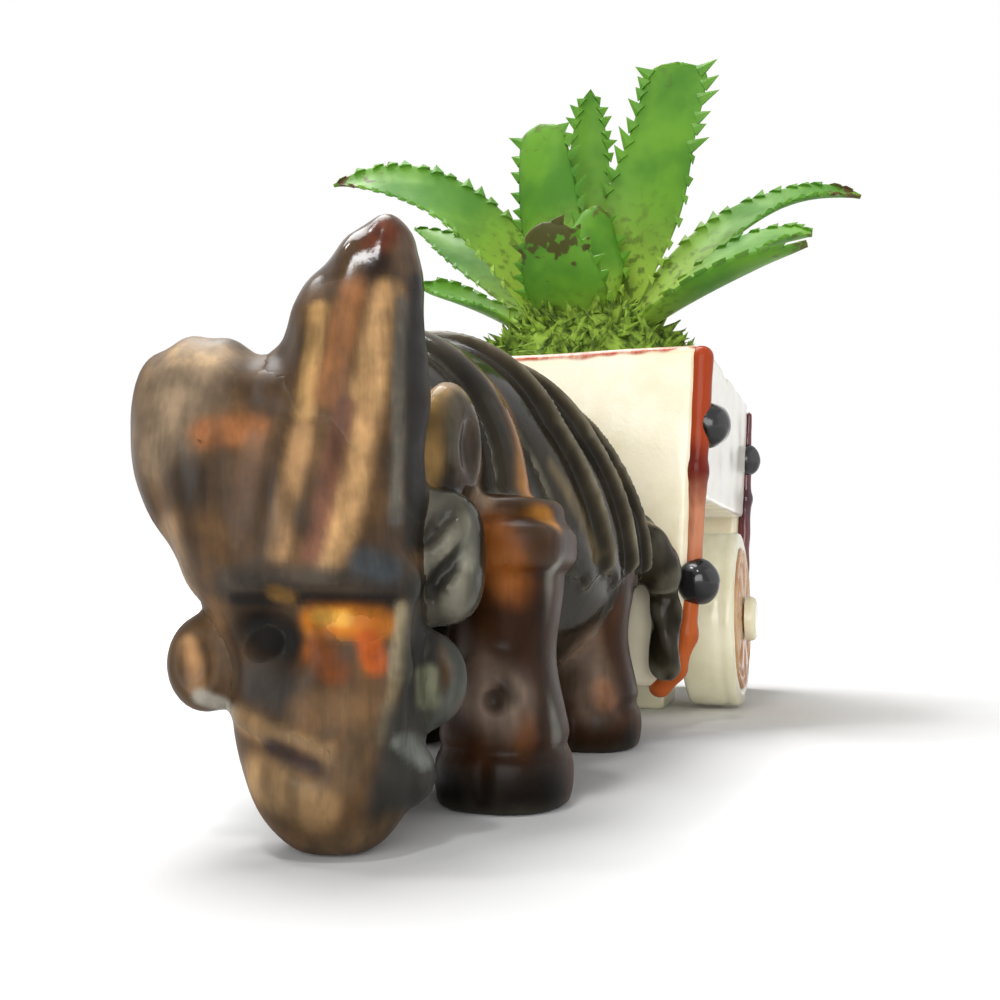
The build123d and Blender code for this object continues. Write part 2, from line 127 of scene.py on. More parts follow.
def chain_distance(x: Array, y: Array, z: Array, places: list, radii: list, join: float = 1.0) -> Array:
    """Distance to a roll of clay laid through a few places.

    Args:
        x, y, z: where to measure.
        places: the points that the roll goes through.
        radii: its radius at each point.
        join: how softly its lengths run into each other.

    Returns:
        The distance at each point.
    """
    roll = None
    for a, b, ra, rb in zip(places[:-1], places[1:], radii[:-1], radii[1:]):
        s = [q - p for p, q in zip(a, b)]
        length = sum(c * c for c in s) or 1e-9
        t = np.clip(((x - a[0]) * s[0] + (y - a[1]) * s[1] + (z - a[2]) * s[2]) / length, 0, 1)
        gap = [x - a[0] - s[0] * t, y - a[1] - s[1] * t, z - a[2] - s[2] * t]
        part = np.sqrt(gap[0] ** 2 + gap[1] ** 2 + gap[2] ** 2) - (ra + (rb - ra) * t)
        roll = part if roll is None else soft_join(roll, part, join)
    return roll


def ball_distance(x: Array, y: Array, z: Array, place: Triple, halves: Triple, power: float = 2.0) -> Array:
    """Distance to a rounded lump with the given half sizes, squarer where the power is higher."""
    q = [np.abs(c - p) / h for c, p, h in zip((x, y, z), place, halves)]
    share = (q[0] ** power + q[1] ** power + q[2] ** power) ** (1 / power)
    far = np.sqrt((x - place[0]) ** 2 + (y - place[1]) ** 2 + (z - place[2]) ** 2)
    return far - far / np.maximum(share, 1e-6)


def outline_distance(x: Array, z: Array, outline: list) -> Array:
    """Distance to a flat outline, below nought inside it."""
    best = np.full(np.broadcast_shapes(x.shape, z.shape), np.inf)
    sign = np.ones(best.shape)
    for (ax, az), (bx, bz) in zip(outline, outline[-1:] + outline[:-1]):
        ex, ez = bx - ax, bz - az
        wx, wz = x - ax, z - az
        t = np.clip((wx * ex + wz * ez) / (ex * ex + ez * ez), 0, 1)
        best = np.minimum(best, (wx - ex * t) ** 2 + (wz - ez * t) ** 2)
        above, below, turn = z >= az, z < bz, ex * wz > ez * wx
        sign = np.where((above & below & turn) | (~above & ~below & ~turn), -sign, sign)
    return sign * np.sqrt(best)


def slab_distance(flat: Array, along: Array, start: float, end: float, rounding: float) -> Array:
    """An outline given thickness between two planes, with its edges rounded over."""
    depth = np.abs(along - (start + end) / 2) - (end - start) / 2
    a, b = flat + rounding, depth + rounding
    outside = np.sqrt(np.maximum(a, 0) ** 2 + np.maximum(b, 0) ** 2)
    return outside + np.minimum(np.maximum(a, b), 0) - rounding


def ripple(x: Array, y: Array, z: Array, length: float, seed: int) -> Array:
    """Hand-made unevenness: slow waves of about the given length, from -1 to 1."""
    rng = np.random.default_rng(seed)
    total = 0.0
    for octave in range(4):
        way = rng.normal(size=3)
        way *= (1 + 0.4 * octave) * 2 * math.pi / (length * np.linalg.norm(way))
        total = total + np.sin(way[0] * x + way[1] * y + way[2] * z + rng.uniform(0, 6.28))
    return total / 4


def skin(values: Array, low: Array, cell: float) -> tuple[Array, Array]:
    """Quads over the surface of a form that is measured on a grid.

    Args:
        values: distances at the grid's points.
        low: the grid's lowest corner.
        cell: the grid's spacing.

    Returns:
        Points in millimetres, and the four points of each face.
    """
    cells = tuple(n - 1 for n in values.shape)
    total, count = np.zeros(cells + (3,)), np.zeros(cells)
    for axis in range(3):
        others = [a for a in range(3) if a != axis]
        for steps in ((0, 0), (0, 1), (1, 0), (1, 1)):
            near, far = [slice(0, -1)] * 3, [slice(1, None)] * 3
            for other, step in zip(others, steps):
                near[other] = far[other] = slice(step, step + cells[other])
            a, b = values[tuple(near)], values[tuple(far)]
            crossing = (a < 0) != (b < 0)
            total[..., axis] += np.where(crossing, a / np.where(crossing, a - b, 1), 0)
            for other, step in zip(others, steps):
                total[..., other] += crossing * step
            count += crossing
    active = count > 0
    number = np.full(cells, -1, np.int64)
    number[active] = np.arange(active.sum())
    points = (np.argwhere(active) + total[active] / count[active][:, None]) * cell + low
    inside, faces = values < 0, []
    for axis in range(3):
        second, third = (axis + 1) % 3, (axis + 2) % 3
        near, far = [slice(1, -1)] * 3, [slice(1, -1)] * 3
        near[axis], far[axis] = slice(0, -1), slice(1, None)
        a, b = inside[tuple(near)], inside[tuple(far)]
        for mask, order in ((a & ~b, 1), (~a & b, -1)):
            spots = np.argwhere(mask)
            corners = []
            for back_second, back_third in ((0, 0), (1, 0), (1, 1), (0, 1)):
                place = spots.copy()
                place[:, second] += back_second
                place[:, third] += back_third
                corners.append(number[tuple(place.T)])
            faces.append(np.stack(corners[::order], 1))
    return points, np.concatenate(faces)


def crests(points: Array, faces: Array, cell: float, rounds: int = 4) -> Array:
    """How far each point stands on a ridge, above nought, or in a groove, below nought."""
    edges = np.concatenate([faces[:, [i, (i + 1) % 4]] for i in range(4)])
    edges = np.concatenate([edges, edges[:, ::-1]])
    many = np.maximum(np.bincount(edges[:, 0], minlength=len(points)), 1)[:, None]

    def around(values: Array) -> Array:
        """Mean over the neighbours of each point."""
        sums = np.stack(
            [np.bincount(edges[:, 0], values[edges[:, 1], c], len(points)) for c in range(values.shape[1])], 1
        )
        return sums / many

    spans = points[faces[:, 2]] - points[faces[:, 0]], points[faces[:, 3]] - points[faces[:, 1]]
    square = np.cross(*spans)
    normals = np.zeros_like(points)
    for corner in range(4):
        for c in range(3):
            normals[:, c] += np.bincount(faces[:, corner], square[:, c], len(points))
    normals /= np.maximum(np.linalg.norm(normals, axis=1, keepdims=True), 1e-9)
    smooth = points
    for _ in range(rounds):
        smooth = around(smooth)
    height = np.sum((points - smooth) * normals, axis=1, keepdims=True) / (cell * rounds)
    return around(around(height))[:, 0]


def make_piece(
    name: str, points: Array, faces: list, material: bpy.types.Material, body: Body, nodes: list
) -> bpy.types.Object:
    """Turn points and faces into a finished piece that rides on its body.

    Args:
        name: the piece's name.
        points: its points, in millimetres.
        faces: the points of each face.
        material: its finish.
        body: what it rides on.
        nodes: the solids that it stands for.

    Returns:
        The new object.
    """
    mesh = bpy.data.meshes.new(name)
    mesh.from_pydata((np.asarray(points) * MM).tolist(), [], faces)
    mesh.shade_smooth()
    mesh.materials.append(material)
    piece = bpy.data.objects.new(name, mesh)
    bpy.context.scene.collection.objects.link(piece)
    return settle(piece, body, nodes)


def settle(piece: bpy.types.Object, body: Body, nodes: list) -> bpy.types.Object:
    """Say what a piece rides on and which solids it stands for."""
    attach(piece, body.value)
    if nodes:
        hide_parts(*nodes)
    log.info("%s: %d faces on %s", piece.name, len(piece.data.polygons), body.value)
    return piece


# Finishes


class NodeSheet:
    """A node tree with short calls to add and join nodes."""

    def __init__(self, tree: bpy.types.NodeTree) -> None:
        """Keep the tree."""
        self.tree = tree

    def add(self, kind: str, settings: Optional[dict] = None, **inputs: object) -> bpy.types.Node:
        """Add a node.

        Args:
            kind: the node's type.
            settings: its own options.
            inputs: values or links for its sockets, by name with _ for a blank, or i0, i1 by place.

        Returns:
            The node.
        """
        node = self.tree.nodes.new(kind)
        for key, value in (settings or {}).items():
            setattr(node, key, value)
        for key, value in inputs.items():
            by_place = key[0] == "i" and key[1:].isdigit()
            socket = node.inputs[int(key[1:]) if by_place else key.replace("_", " ")]
            self.set(socket, value)
        return node

    def set(self, socket: bpy.types.NodeSocket, value: object) -> None:
        """Give a socket a value, or a link from another socket."""
        if isinstance(value, bpy.types.NodeSocket):
            self.tree.links.new(value, socket)
        else:
            socket.default_value = value

    def math(self, operation: str, a: object, b: object = 0.0, clamp: bool = False) -> bpy.types.NodeSocket:
        """Result of one sum."""
        return self.add("ShaderNodeMath", {"operation": operation, "use_clamp": clamp}, i0=a, i1=b).outputs[0]

    def ramp(self, value: object, low: float, high: float, to_low: float = 0.0, to_high: float = 1.0) -> object:
        """A value taken smoothly from one range to another, held past its ends."""
        node = self.add("ShaderNodeMapRange", {"interpolation_type": "SMOOTHSTEP"}, Value=value)
        for key, number in zip(("From Min", "From Max", "To Min", "To Max"), (low, high, to_low, to_high)):
            node.inputs[key].default_value = number
        return node.outputs["Result"]

    def mix(self, share: object, a: object, b: object, blend: str = "MIX") -> bpy.types.NodeSocket:
        """Two colours mixed by a share."""
        node = self.add("ShaderNodeMix", {"data_type": "RGBA", "blend_type": blend})
        for place, value in ((0, share), (6, a), (7, b)):
            if isinstance(value, tuple):
                value = (*value[:3], 1.0)
            self.set(node.inputs[place], value)
        return node.outputs[2]


def group_sockets(tree: bpy.types.NodeTree, inputs: dict, outputs: dict) -> None:
    """Give a node group its named inputs, each a kind and a first value, and its outputs."""
    for name, (kind, value) in inputs.items():
        socket = tree.interface.new_socket(name, in_out="INPUT", socket_type=kind)
        if value is not None:
            socket.default_value = value
    for name, kind in outputs.items():
        tree.interface.new_socket(name, in_out="OUTPUT", socket_type=kind)


def mottle_group() -> bpy.types.NodeTree:
    """Uneven glaze: a broad cloud, runs that hang down the piece, and a fine grain."""
    found = bpy.data.node_groups.get("GlazeMottle")
    if found:
        return found
    tree = bpy.data.node_groups.new("GlazeMottle", "ShaderNodeTree")
    number = "NodeSocketFloat"
    group_sockets(
        tree,
        {"Broad": (number, 90.0), "Run": (number, 260.0), "Fall": (number, 0.16), "Grain": (number, 1400.0)},
        {"Cloud": number, "Runs": number, "Speckle": number},
    )
    sheet = NodeSheet(tree)
    values = sheet.add("NodeGroupInput").outputs
    place = sheet.add("ShaderNodeTexCoord").outputs["Object"]
    cloud = sheet.add("ShaderNodeTexNoise", Vector=place, Scale=values["Broad"], Detail=3.0, Roughness=0.55)
    stretch = sheet.add("ShaderNodeCombineXYZ", X=1.0, Y=1.0, Z=values["Fall"]).outputs[0]
    hung = sheet.add("ShaderNodeVectorMath", {"operation": "MULTIPLY"}, i0=place, i1=stretch).outputs[0]
    runs = sheet.add("ShaderNodeTexNoise", Vector=hung, Scale=values["Run"], Detail=4.0, Roughness=0.6)
    grain = sheet.add("ShaderNodeTexNoise", Vector=place, Scale=values["Grain"], Detail=2.0)
    sheet.add("NodeGroupOutput", Cloud=cloud.outputs[0], Runs=runs.outputs[0], Speckle=grain.outputs[0])
    return tree


@dataclass(frozen=True)
class Finish:
    """A finish with its own gloss."""

    name: str
    roughness: float = 0.16
    gloss: float = 0.4
    broad: float = 90.0
    run: float = 260.0
    fall: float = 0.16
    grain: float = 1400.0
    bump: float = 0.12
    bump_depth: float = 0.0006

    def begin(self) -> tuple[bpy.types.Material, NodeSheet, bpy.types.Node, bpy.types.Node]:
        """Start the material.

        Returns:
            The material, its sheet, its surface shader and its mottle.
        """
        material = bpy.data.materials.new(self.name)
        material.use_nodes = True
        sheet = NodeSheet(material.node_tree)
        surface = material.node_tree.nodes["Principled BSDF"]
        surface.inputs["Specular IOR Level"].default_value = self.gloss
        mottle = sheet.add("ShaderNodeGroup", {"node_tree": mottle_group()})
        for key, value in zip(("Broad", "Run", "Fall", "Grain"), (self.broad, self.run, self.fall, self.grain)):
            mottle.inputs[key].default_value = value
        return material, sheet, surface, mottle

    def finish(
        self, sheet: NodeSheet, surface: bpy.types.Node, mottle: bpy.types.Node, colour: object, dullness: object = None
    ) -> None:
        """Join colour, gloss and fine relief to the surface."""
        sheet.set(surface.inputs["Base Color"], colour)
        spread = sheet.ramp(mottle.outputs["Cloud"], 0.25, 0.75, 0.75, 1.35)
        level = self.roughness if dullness is None else dullness
        sheet.set(surface.inputs["Roughness"], sheet.math("MULTIPLY", spread, level))
        mixed = sheet.math("MULTIPLY", mottle.outputs["Speckle"], 0.35)
        height = sheet.math("ADD", mottle.outputs["Cloud"], mixed)
        bump = sheet.add("ShaderNodeBump", Strength=self.bump, Distance=self.bump_depth, Height=height)
        sheet.set(surface.inputs["Normal"], bump.outputs[0])


@dataclass(frozen=True)
class OxGlaze(Finish):
    """Breaking glaze of the ox: brushed colours that run down and pool dark."""

    pool: str = "#120d08"
    dry: float = 0.52

    def material(self) -> bpy.types.Material:
        """The glaze, over the colours brushed on the clay, painted shade and highlights among them, glossy where it
        went on wet.
        """
        material, sheet, surface, mottle = self.begin()
        coat = sheet.add("ShaderNodeAttribute", {"attribute_name": "brushed"}).outputs
        brushed, dullness = coat["Color"], sheet.ramp(coat["Alpha"], 0.0, 1.0, self.dry, self.roughness)
        runs = sheet.ramp(mottle.outputs["Runs"], 0.36, 0.66, 0.0, 0.6)
        pooled = sheet.mix(runs, brushed, sheet.mix(0.62, brushed, tint(self.pool)))
        lift = sheet.ramp(mottle.outputs["Cloud"], 0.32, 0.72, 0.65, 1.35)
        lifted = sheet.add("ShaderNodeVectorMath", {"operation": "SCALE"}, i0=pooled, Scale=lift).outputs[0]
        self.finish(sheet, surface, mottle, lifted, dullness)
        return material


@dataclass(frozen=True)
class PlainGlaze(Finish):
    """One glaze that thins to a second colour in clouds and runs."""

    main: str = "#ffffff"
    thin: str = "#ffffff"
    share: float = 0.7

    def material(self) -> bpy.types.Material:
        """The glaze."""
        material, sheet, surface, mottle = self.begin()
        clouds = sheet.ramp(mottle.outputs["Cloud"], 0.35, 0.7, 0.0, self.share)
        colour = sheet.mix(clouds, tint(self.main), tint(self.thin))
        runs = sheet.ramp(mottle.outputs["Runs"], 0.45, 0.7, 0.0, self.share * 0.5)
        self.finish(sheet, surface, mottle, sheet.mix(runs, colour, tint(self.thin)))
        return material


@dataclass(frozen=True)
class CartGlaze(Finish):
    """Cream glaze of the boards, with a wavering rust line brushed along the rim."""

    cream: str = "#efe6cb"
    shade: str = "#dccfa9"
    line: str = "#a8401d"
    rim: float = 73.0
    line_width: float = 1.5

    def material(self) -> bpy.types.Material:
        """The glaze with its painted line."""
        material, sheet, surface, mottle = self.begin()
        clouds = sheet.ramp(mottle.outputs["Cloud"], 0.35, 0.72, 0.0, 0.75)
        colour = sheet.mix(clouds, tint(self.cream), tint(self.shade))
        place = sheet.add("ShaderNodeTexCoord").outputs["Object"]
        parts = sheet.add("ShaderNodeSeparateXYZ", Vector=place).outputs
        waver = sheet.add("ShaderNodeTexNoise", Vector=place, Scale=75.0, Detail=2.0).outputs[0]
        drop = sheet.math("MULTIPLY_ADD", sheet.math("SUBTRACT", waver, 0.5), 4 * self.line_width * MM)
        drop.node.inputs[2].default_value = (self.rim - self.line_width) * MM
        over = sheet.math("SUBTRACT", parts["Z"], drop)
        line = sheet.ramp(over, -0.35 * MM, 0.35 * MM)
        top = sheet.ramp(parts["Z"], (self.rim - 0.5) * MM, (self.rim - 0.1) * MM, 1.0, 0.25)
        worn = sheet.ramp(mottle.outputs["Runs"], 0.3, 0.55, 0.55, 1.0)
        share = sheet.math("MULTIPLY", sheet.math("MULTIPLY", line, top), worn)
        self.finish(sheet, surface, mottle, sheet.mix(share, colour, tint(self.line)))
        return material


@dataclass(frozen=True)
class PostGlaze(Finish):
    """Rust red of the posts: deep round the upper bead, a painted shade of the bead on the post, paler below it, orange
    at the foot.
    """

    red: str = "#9c3d1e"
    deep: str = "#641e16"
    pale: str = "#c1805f"
    orange: str = "#b55a2a"

    def material(self) -> bpy.types.Material:
        """The glaze, changing up the post."""
        material, sheet, surface, mottle = self.begin()
        place = sheet.add("ShaderNodeTexCoord").outputs["Object"]
        height = sheet.add("ShaderNodeSeparateXYZ", Vector=place).outputs["Z"]
        wander = sheet.math("MULTIPLY_ADD", mottle.outputs["Cloud"], 0.012)
        sheet.set(wander.node.inputs[2], height)
        ramp = sheet.add("ShaderNodeValToRGB", Fac=sheet.ramp(wander, 0.006, 0.079))
        # The deep stop sits at the height of the upper bead: painted shade of the bead on the post.
        bands = ((0.0, self.orange), (0.30, self.orange), (0.44, self.pale), (0.60, self.pale), (0.72, self.deep), (0.84, self.red))
        stops = ramp.color_ramp.elements
        while len(stops) < len(bands):
            stops.new(0.5)
        for stop, (at, code) in zip(stops, bands):
            stop.position, stop.color = at, (*tint(code), 1.0)
        worn = sheet.ramp(mottle.outputs["Runs"], 0.5, 0.7, 0.0, 0.55)
        self.finish(sheet, surface, mottle, sheet.mix(worn, ramp.outputs[0], tint(self.deep)))
        return material


@dataclass(frozen=True)
class LeafSkin(Finish):
    """Soft plastic of the leaves: fresh green, paler at the root, browned at the very tip."""

    fresh: str = "#609129"
    deep: str = "#437520"
    root: str = "#a5c04a"
    speck: str = "#4a5c20"
    brown: str = "#4f3a24"
    olive: str = "#43421c"

    def material(self) -> bpy.types.Material:
        """The leaf, coloured along its own length."""
        material, sheet, surface, mottle = self.begin()
        along = sheet.add("ShaderNodeAttribute", {"attribute_name": "along"}).outputs["Fac"]
        across = sheet.add("ShaderNodeAttribute", {"attribute_name": "across"}).outputs["Fac"]
        browning = sheet.add("ShaderNodeAttribute", {"attribute_name": "browning"}).outputs["Fac"]
        clouds = sheet.ramp(mottle.outputs["Cloud"], 0.35, 0.68)
        green = sheet.mix(clouds, tint(self.fresh), tint(self.deep))
        margin = sheet.ramp(across, 0.55, 1.0, 0.0, 0.25)
        green = sheet.mix(margin, green, tint(self.deep))
        green = sheet.mix(sheet.ramp(along, 0.05, 0.5, 0.8, 0.0), green, tint(self.root))
        speckle = sheet.ramp(mottle.outputs["Speckle"], 0.5, 0.66, 0.0, 0.75)
        speckle = sheet.math("MULTIPLY", speckle, sheet.ramp(along, 0.15, 0.6, 1.0, 0.0))
        green = sheet.mix(speckle, green, tint(self.speck))
        uneven = sheet.math("MULTIPLY_ADD", mottle.outputs["Speckle"], 0.9)
        sheet.set(uneven.node.inputs[2], along)
        early = sheet.math("MULTIPLY_ADD", browning, 0.16)
        sheet.set(early.node.inputs[2], sheet.math("SUBTRACT", uneven, 0.60))
        tip = sheet.math("MULTIPLY", sheet.ramp(early, 0.90, 1.06), browning, True)
        dried = sheet.mix(sheet.ramp(browning, 1.0, 1.8), tint(self.brown), tint(self.olive))
        self.finish(sheet, surface, mottle, sheet.mix(tip, green, dried))
        surface.inputs["Subsurface Weight"].default_value = 0.12
        surface.inputs["Subsurface Radius"].default_value = (0.004, 0.006, 0.002)
        surface.inputs["Subsurface Scale"].default_value = 0.4
        return material


# The ox


@dataclass(frozen=True)
class BrushStroke:
    """One stroke of colour, laid from a start to an end with a soft edge: mostly coloured glaze, some of them painted
    shade and painted highlights.

    Face strokes give the side shift and height on the front of the head; others give a point.
    """

    start: tuple
    end: tuple
    reach: float
    colour: str
    strength: float = 1.0

    def weight(self, *place: Array) -> Array:
        """How far the stroke covers each point."""
        s = [b - a for a, b in zip(self.start, self.end)]
        length = sum(c * c for c in s) or 1e-9
        t = np.clip(sum((p - a) * c for p, a, c in zip(place, self.start, s)) / length, 0, 1)
        gap = sum((p - a - c * t) ** 2 for p, a, c in zip(place, self.start, s))
        return self.strength * np.exp(-((gap / self.reach**2) ** 2))


@dataclass
class ClayPiece:
    """One clay piece of the ox: its form, its room and how softly it is luted on."""

    name: str
    shape: Shape
    low: Triple
    high: Triple
    softness: float
    cell: float
    slot: str
    coat: Coat = Coat.BODY


@dataclass
class Ox:
    """The ox: hollow body, bands, legs, tail and lowered head, luted together."""

    cart_front: float = 14.0
    body_length: float = 98.0
    half_width: float = 23.3
    half_height: float = 25.4
    centre_height: float = 37.8
    band_rise: float = 3.0
    band_tuck: float = 0.6
    band_lean: float = 0.72
    lean_height: float = 50.0
    hem: float = 27.0
    collar_rise: float = 2.4
    collar_hem: float = 22.0
    head_place: tuple = (5.0, -92.0)
    head_turn: float = 15.0
    head_height: float = 47.0
    head_half_width: float = 13.8
    head_half_depth: float = 12.2
    facet_way: tuple = (0.918, 0.396)
    seam: float = 0.45
    body_shares: tuple = (
        (1.00, 0.60, 0.61, 0.99),
        (0.92, 0.67, 0.73, 1.00),
        (0.84, 0.73, 0.83, 1.00),
        (0.765, 0.78, 0.90, 0.99),
        (0.61, 0.90, 0.985, 0.97),
        (0.47, 0.98, 1.00, 0.94),
        (0.33, 1.00, 0.965, 0.90),
        (0.185, 0.97, 0.88, 0.84),
        (0.06, 0.85, 0.77, 0.78),
        (0.00, 0.77, 0.71, 0.755),
    )
    band_shares: tuple = (0.765, 0.61, 0.47, 0.33, 0.185)
    collar_shares: tuple = (0.84, 0.765)
    head_shares: tuple = (
        (0.00, 0.20, 0.29, 0.40, 0.30),
        (0.05, 0.19, 0.45, 0.34, 0.50),
        (0.12, 0.16, 0.60, 0.24, 0.66),
        (0.25, 0.09, 0.70, 0.12, 0.76),
        (0.42, 0.08, 0.72, 0.04, 0.76),
        (0.57, -0.08, 0.85, 0.02, 0.92),
        (0.72, -0.23, 0.96, 0.01, 0.95),
        (0.87, -0.33, 1.00, -0.04, 0.88),
        (1.00, -0.39, 0.91, -0.08, 0.70),
    )
    leg_height: float = 35.0
    leg_half_width: float = 8.4
    leg_half_depth: float = 9.0
    leg_shares: tuple = (
        (0.00, 0.95, 0.95),
        (0.10, 1.00, 1.00),
        (0.24, 0.95, 0.95),
        (0.53, 0.75, 0.78),
        (0.76, 0.86, 0.89),
        (1.00, 0.88, 0.91),
    )
    front_legs: tuple = (17.6, -66.0)
    rear_legs: tuple = (16.4, -14.0)
    stride: float = 23.9
    pieces: list = field(default_factory=list)

    def place_y(self, share: Array) -> Array:
        """Place along the ox at a share of the body's length ahead of the cart."""
        return self.cart_front - self.body_length * np.asarray(share)

    def to_head(self, x: Array, y: Array) -> tuple[Array, Array]:
        """Shift to the animal's left and distance forward, from the middle of its head."""
        c, s = math.cos(math.radians(self.head_turn)), math.sin(math.radians(self.head_turn))
        dx, dy = x - self.head_place[0], y - self.head_place[1]
        return dx * c + dy * s, dx * s - dy * c

    def from_head(self, u: float, w: float, z: float) -> Triple:
        """Point of the frame at a left shift, forward distance and height of the head."""
        c, s = math.cos(math.radians(self.head_turn)), math.sin(math.radians(self.head_turn))
        return self.head_place[0] + u * c + w * s, self.head_place[1] + u * s - w * c, z

    def barrel(self, x: Array, y: Array, z: Array) -> Array:
        """Distance to the body's smooth outer form, not ended at its front and back."""
        reach, wide, tall, mid = np.array(self.body_shares[::-1]).T
        knots = self.place_y(reach[::-1])
        half_x = self.half_width * flow(y, knots, wide[::-1])
        half_z = self.half_height * flow(y, knots, tall[::-1])
        centre = self.centre_height * flow(y, knots, mid[::-1])
        return oval_distance(x + 0 * z, z - centre, half_x, half_z)

    def body(self, x: Array, y: Array, z: Array) -> Array:
        """Body shell with the folds of the neck and the rounded hip beside the tail."""
        front, back = self.place_y(1.0), self.place_y(0.0)
        shape = soft_cut(self.barrel(x, y, z), np.maximum(front - y, y - back + 0.4), 3.0)
        jowl = ball_distance(x, y, z, (14.0, -83.0, 30.4), (6.2, 4.8, 7.8), 3.0)
        for crease in ([(21.0, -85.2, 33.4), (13.6, -87.9, 24.6)], [(19.4, -86.4, 37.0), (12.6, -88.4, 30.0)]):
            jowl = soft_cut(jowl, -chain_distance(x, y, z, crease, [0.9, 1.1]), 1.0)
        shape = soft_join(shape, jowl, 2.0)
        out = np.abs(x)
        pad = ball_distance(out, y, z, (14.0, -77.0, 43.8), (3.7, 6.0, 7.8))
        hollow = ball_distance(out, y, z, (18.6, -78.2, 43.4), (2.6, 3.2, 4.6))
        pad = soft_cut(pad, -hollow, 0.9)
        shape = soft_join(shape, pad, 2.0)
        hip = chain_distance(x, y, z, [(16, 5, 36), (22, 6, 33.4), (25, 7.5, 29)], [5.2, 4.6, 3.8], 2.0)
        return soft_join(shape, hip, 2.5)

    def band(self, number: int) -> Shape:
        """One raised band over the back, with a rolled rear edge and a rounded hem."""
        front, back = self.place_y(self.band_shares[number]), self.place_y(self.band_shares[number + 1])

        def shape(x: Array, y: Array, z: Array) -> Array:
            """Distance to the band."""
            lean = self.band_lean * np.maximum(self.lean_height - z, 0)
            along = (y - lean - front) / (back - front)
            crown = 0.45 * np.sin(np.pi * np.clip(along, 0, 1))
            roll = np.exp(-(((along - 0.88) / 0.09) ** 2))
            growth = self.band_tuck + crown + (self.band_rise - self.band_tuck) * roll
            skin_gap = self.barrel(x, y, z) - growth
            hem = self.hem + 3.0 * np.abs(along - 0.5) ** 2 * 4 + 0.6 * np.sin(y * 0.9)
            ends = (np.abs(along - 0.5) - 0.5) * (back - front)
            return soft_cut(soft_cut(skin_gap, ends, 0.9), hem - z, 1.8)

        return shape

    def collar(self, x: Array, y: Array, z: Array) -> Array:
        """Ochre collar roll round the neck, open underneath."""
        front, back = self.place_y(self.collar_shares[0]), self.place_y(self.collar_shares[1])
        along = np.clip((y - front) / (back - front), 0, 1)
        growth = self.collar_rise * (0.55 + 0.45 * np.sin(np.pi * along))
        ends = np.maximum(front - y, y - back)
        shape = soft_cut(self.barrel(x, y, z) - growth, ends, 1.6)
        return soft_cut(shape, self.collar_hem - z, 2.5)

    def leg(self, side: int, place: tuple, front: bool) -> Shape:
        """One leg: a waisted column with a hoof, and a shoulder ledge on the front ones."""
        height, wide, deep = np.array(self.leg_shares).T
        knots = self.leg_height * height

        def shape(x: Array, y: Array, z: Array) -> Array:
            """Distance to the leg."""
            dx, dy = x - side * place[0], y - place[1]
            half_x = self.leg_half_width * flow(z, knots, wide)
            half_y = self.leg_half_depth * flow(z, knots, deep)
            column = oval_distance(dx, dy, half_x, half_y, 2.4)
            column = soft_cut(column, -z, 1.4)
            column = soft_cut(column, z - self.leg_height - 3, 2.0)
            hoof = 0.55 * np.exp(-(((z - 7.4) / 0.9) ** 2))
            column = column + hoof
            toe = chain_distance(dx, dy, z, [(0, -9.6, 0), (0, -9.0, 6.5)], [0.9, 0.4])
            column = soft_cut(column, -toe, 0.8)
            if front:
                ledge = ball_distance(side * dx, dy, z, (0.3, -0.8, 32.0), (8.3, 8.8, 3.3), 4.0)
                column = soft_join(column, ledge, 1.4)
                knee = ball_distance(side * dx, dy, z, (0.8, -6.6, 14.2), (4.2, 3.0, 4.6))
                column = soft_join(column, knee, 2.0)
                dent = ball_distance(side * dx, dy, z, (1.4, -9.4, 13.6), (1.5, 1.8, 1.6))
                column = soft_cut(column, -dent, 0.8)
            return column

        return shape

    def tail(self, x: Array, y: Array, z: Array) -> Array:
        """Tail swung round the left flank, thickening to a tuft beside the cart."""
        path = [(13, 8.6, 42.5), (20.5, 8.6, 37.2), (25.0, 8.6, 31.4), (25.5, 8.6, 22), (25.3, 8.6, 12.2)]
        roll = chain_distance(x, y, z, path, [2.6, 2.7, 2.6, 2.5, 2.9], 2.0)
        strands = 0.22 * np.sin(3 * np.arctan2(y - 8.6, x - 25.4) + 0.5 * z)
        return roll + strands * (z < 30)

    def head(self, x: Array, y: Array, z: Array) -> Array:
        """Head: a long wedge of a face under a heavy brow, with its nose near the ground."""
        u, w = self.to_head(x, y)
        height, side, wide, ahead, deep = np.array(self.head_shares).T
        knots = 0.3 + (self.head_height - 0.3) * height
        du = u - self.head_half_width * flow(z, knots, side)
        dw = w - self.head_half_depth * flow(z, knots, ahead)
        half_u = self.head_half_width * flow(z, knots, wide)
        half_w = self.head_half_depth * flow(z, knots, deep)
        face = oval_distance(du, dw, half_u, half_w, 2.5)
        face = soft_cut(face, 0.3 - z, 1.6)
        face = soft_cut(face, z - self.head_height - 2, 5.0)
        brow = chain_distance(
            u, w, z, [(-10.4, 5.4, 28.8), (-5.0, 8.6, 29.2), (2.5, 9.2, 29.0), (9.0, 6.4, 27.6)], [2.4, 3.0, 3.0, 2.4], 2.0
        )
        face = soft_join(face, brow, 2.4)
        cheek = chain_distance(u, w, z, [(9.2, 6.6, 26), (9.2, 7.2, 19), (8.6, 7.6, 12.5)], [1.1, 1.2, 1.2], 1.5)
        face = soft_join(face, cheek, 1.8)
        bridge = chain_distance(u, w, z, [(0.6, 8.2, 26), (0.4, 8.6, 18), (-0.6, 9.0, 13)], [1.3, 1.5, 1.8], 1.5)
        face = soft_join(face, bridge, 2.4)
        muzzle = ball_distance(u, w, z, (1.6, 6.6, 7.4), (6.4, 5.0, 5.6))
        face = soft_join(face, muzzle, 2.2)
        jaw = ball_distance(u, w, z, (9.8, 2.0, 7.6), (2.8, 3.6, 3.4))
        face = soft_join(face, jaw, 1.2)
        for middle, halves in (((-3.8, 11.4, 21.6), (4.4, 3.6, 4.0)), ((4.4, 12.0, 23.2), (4.6, 3.2, 2.7))):
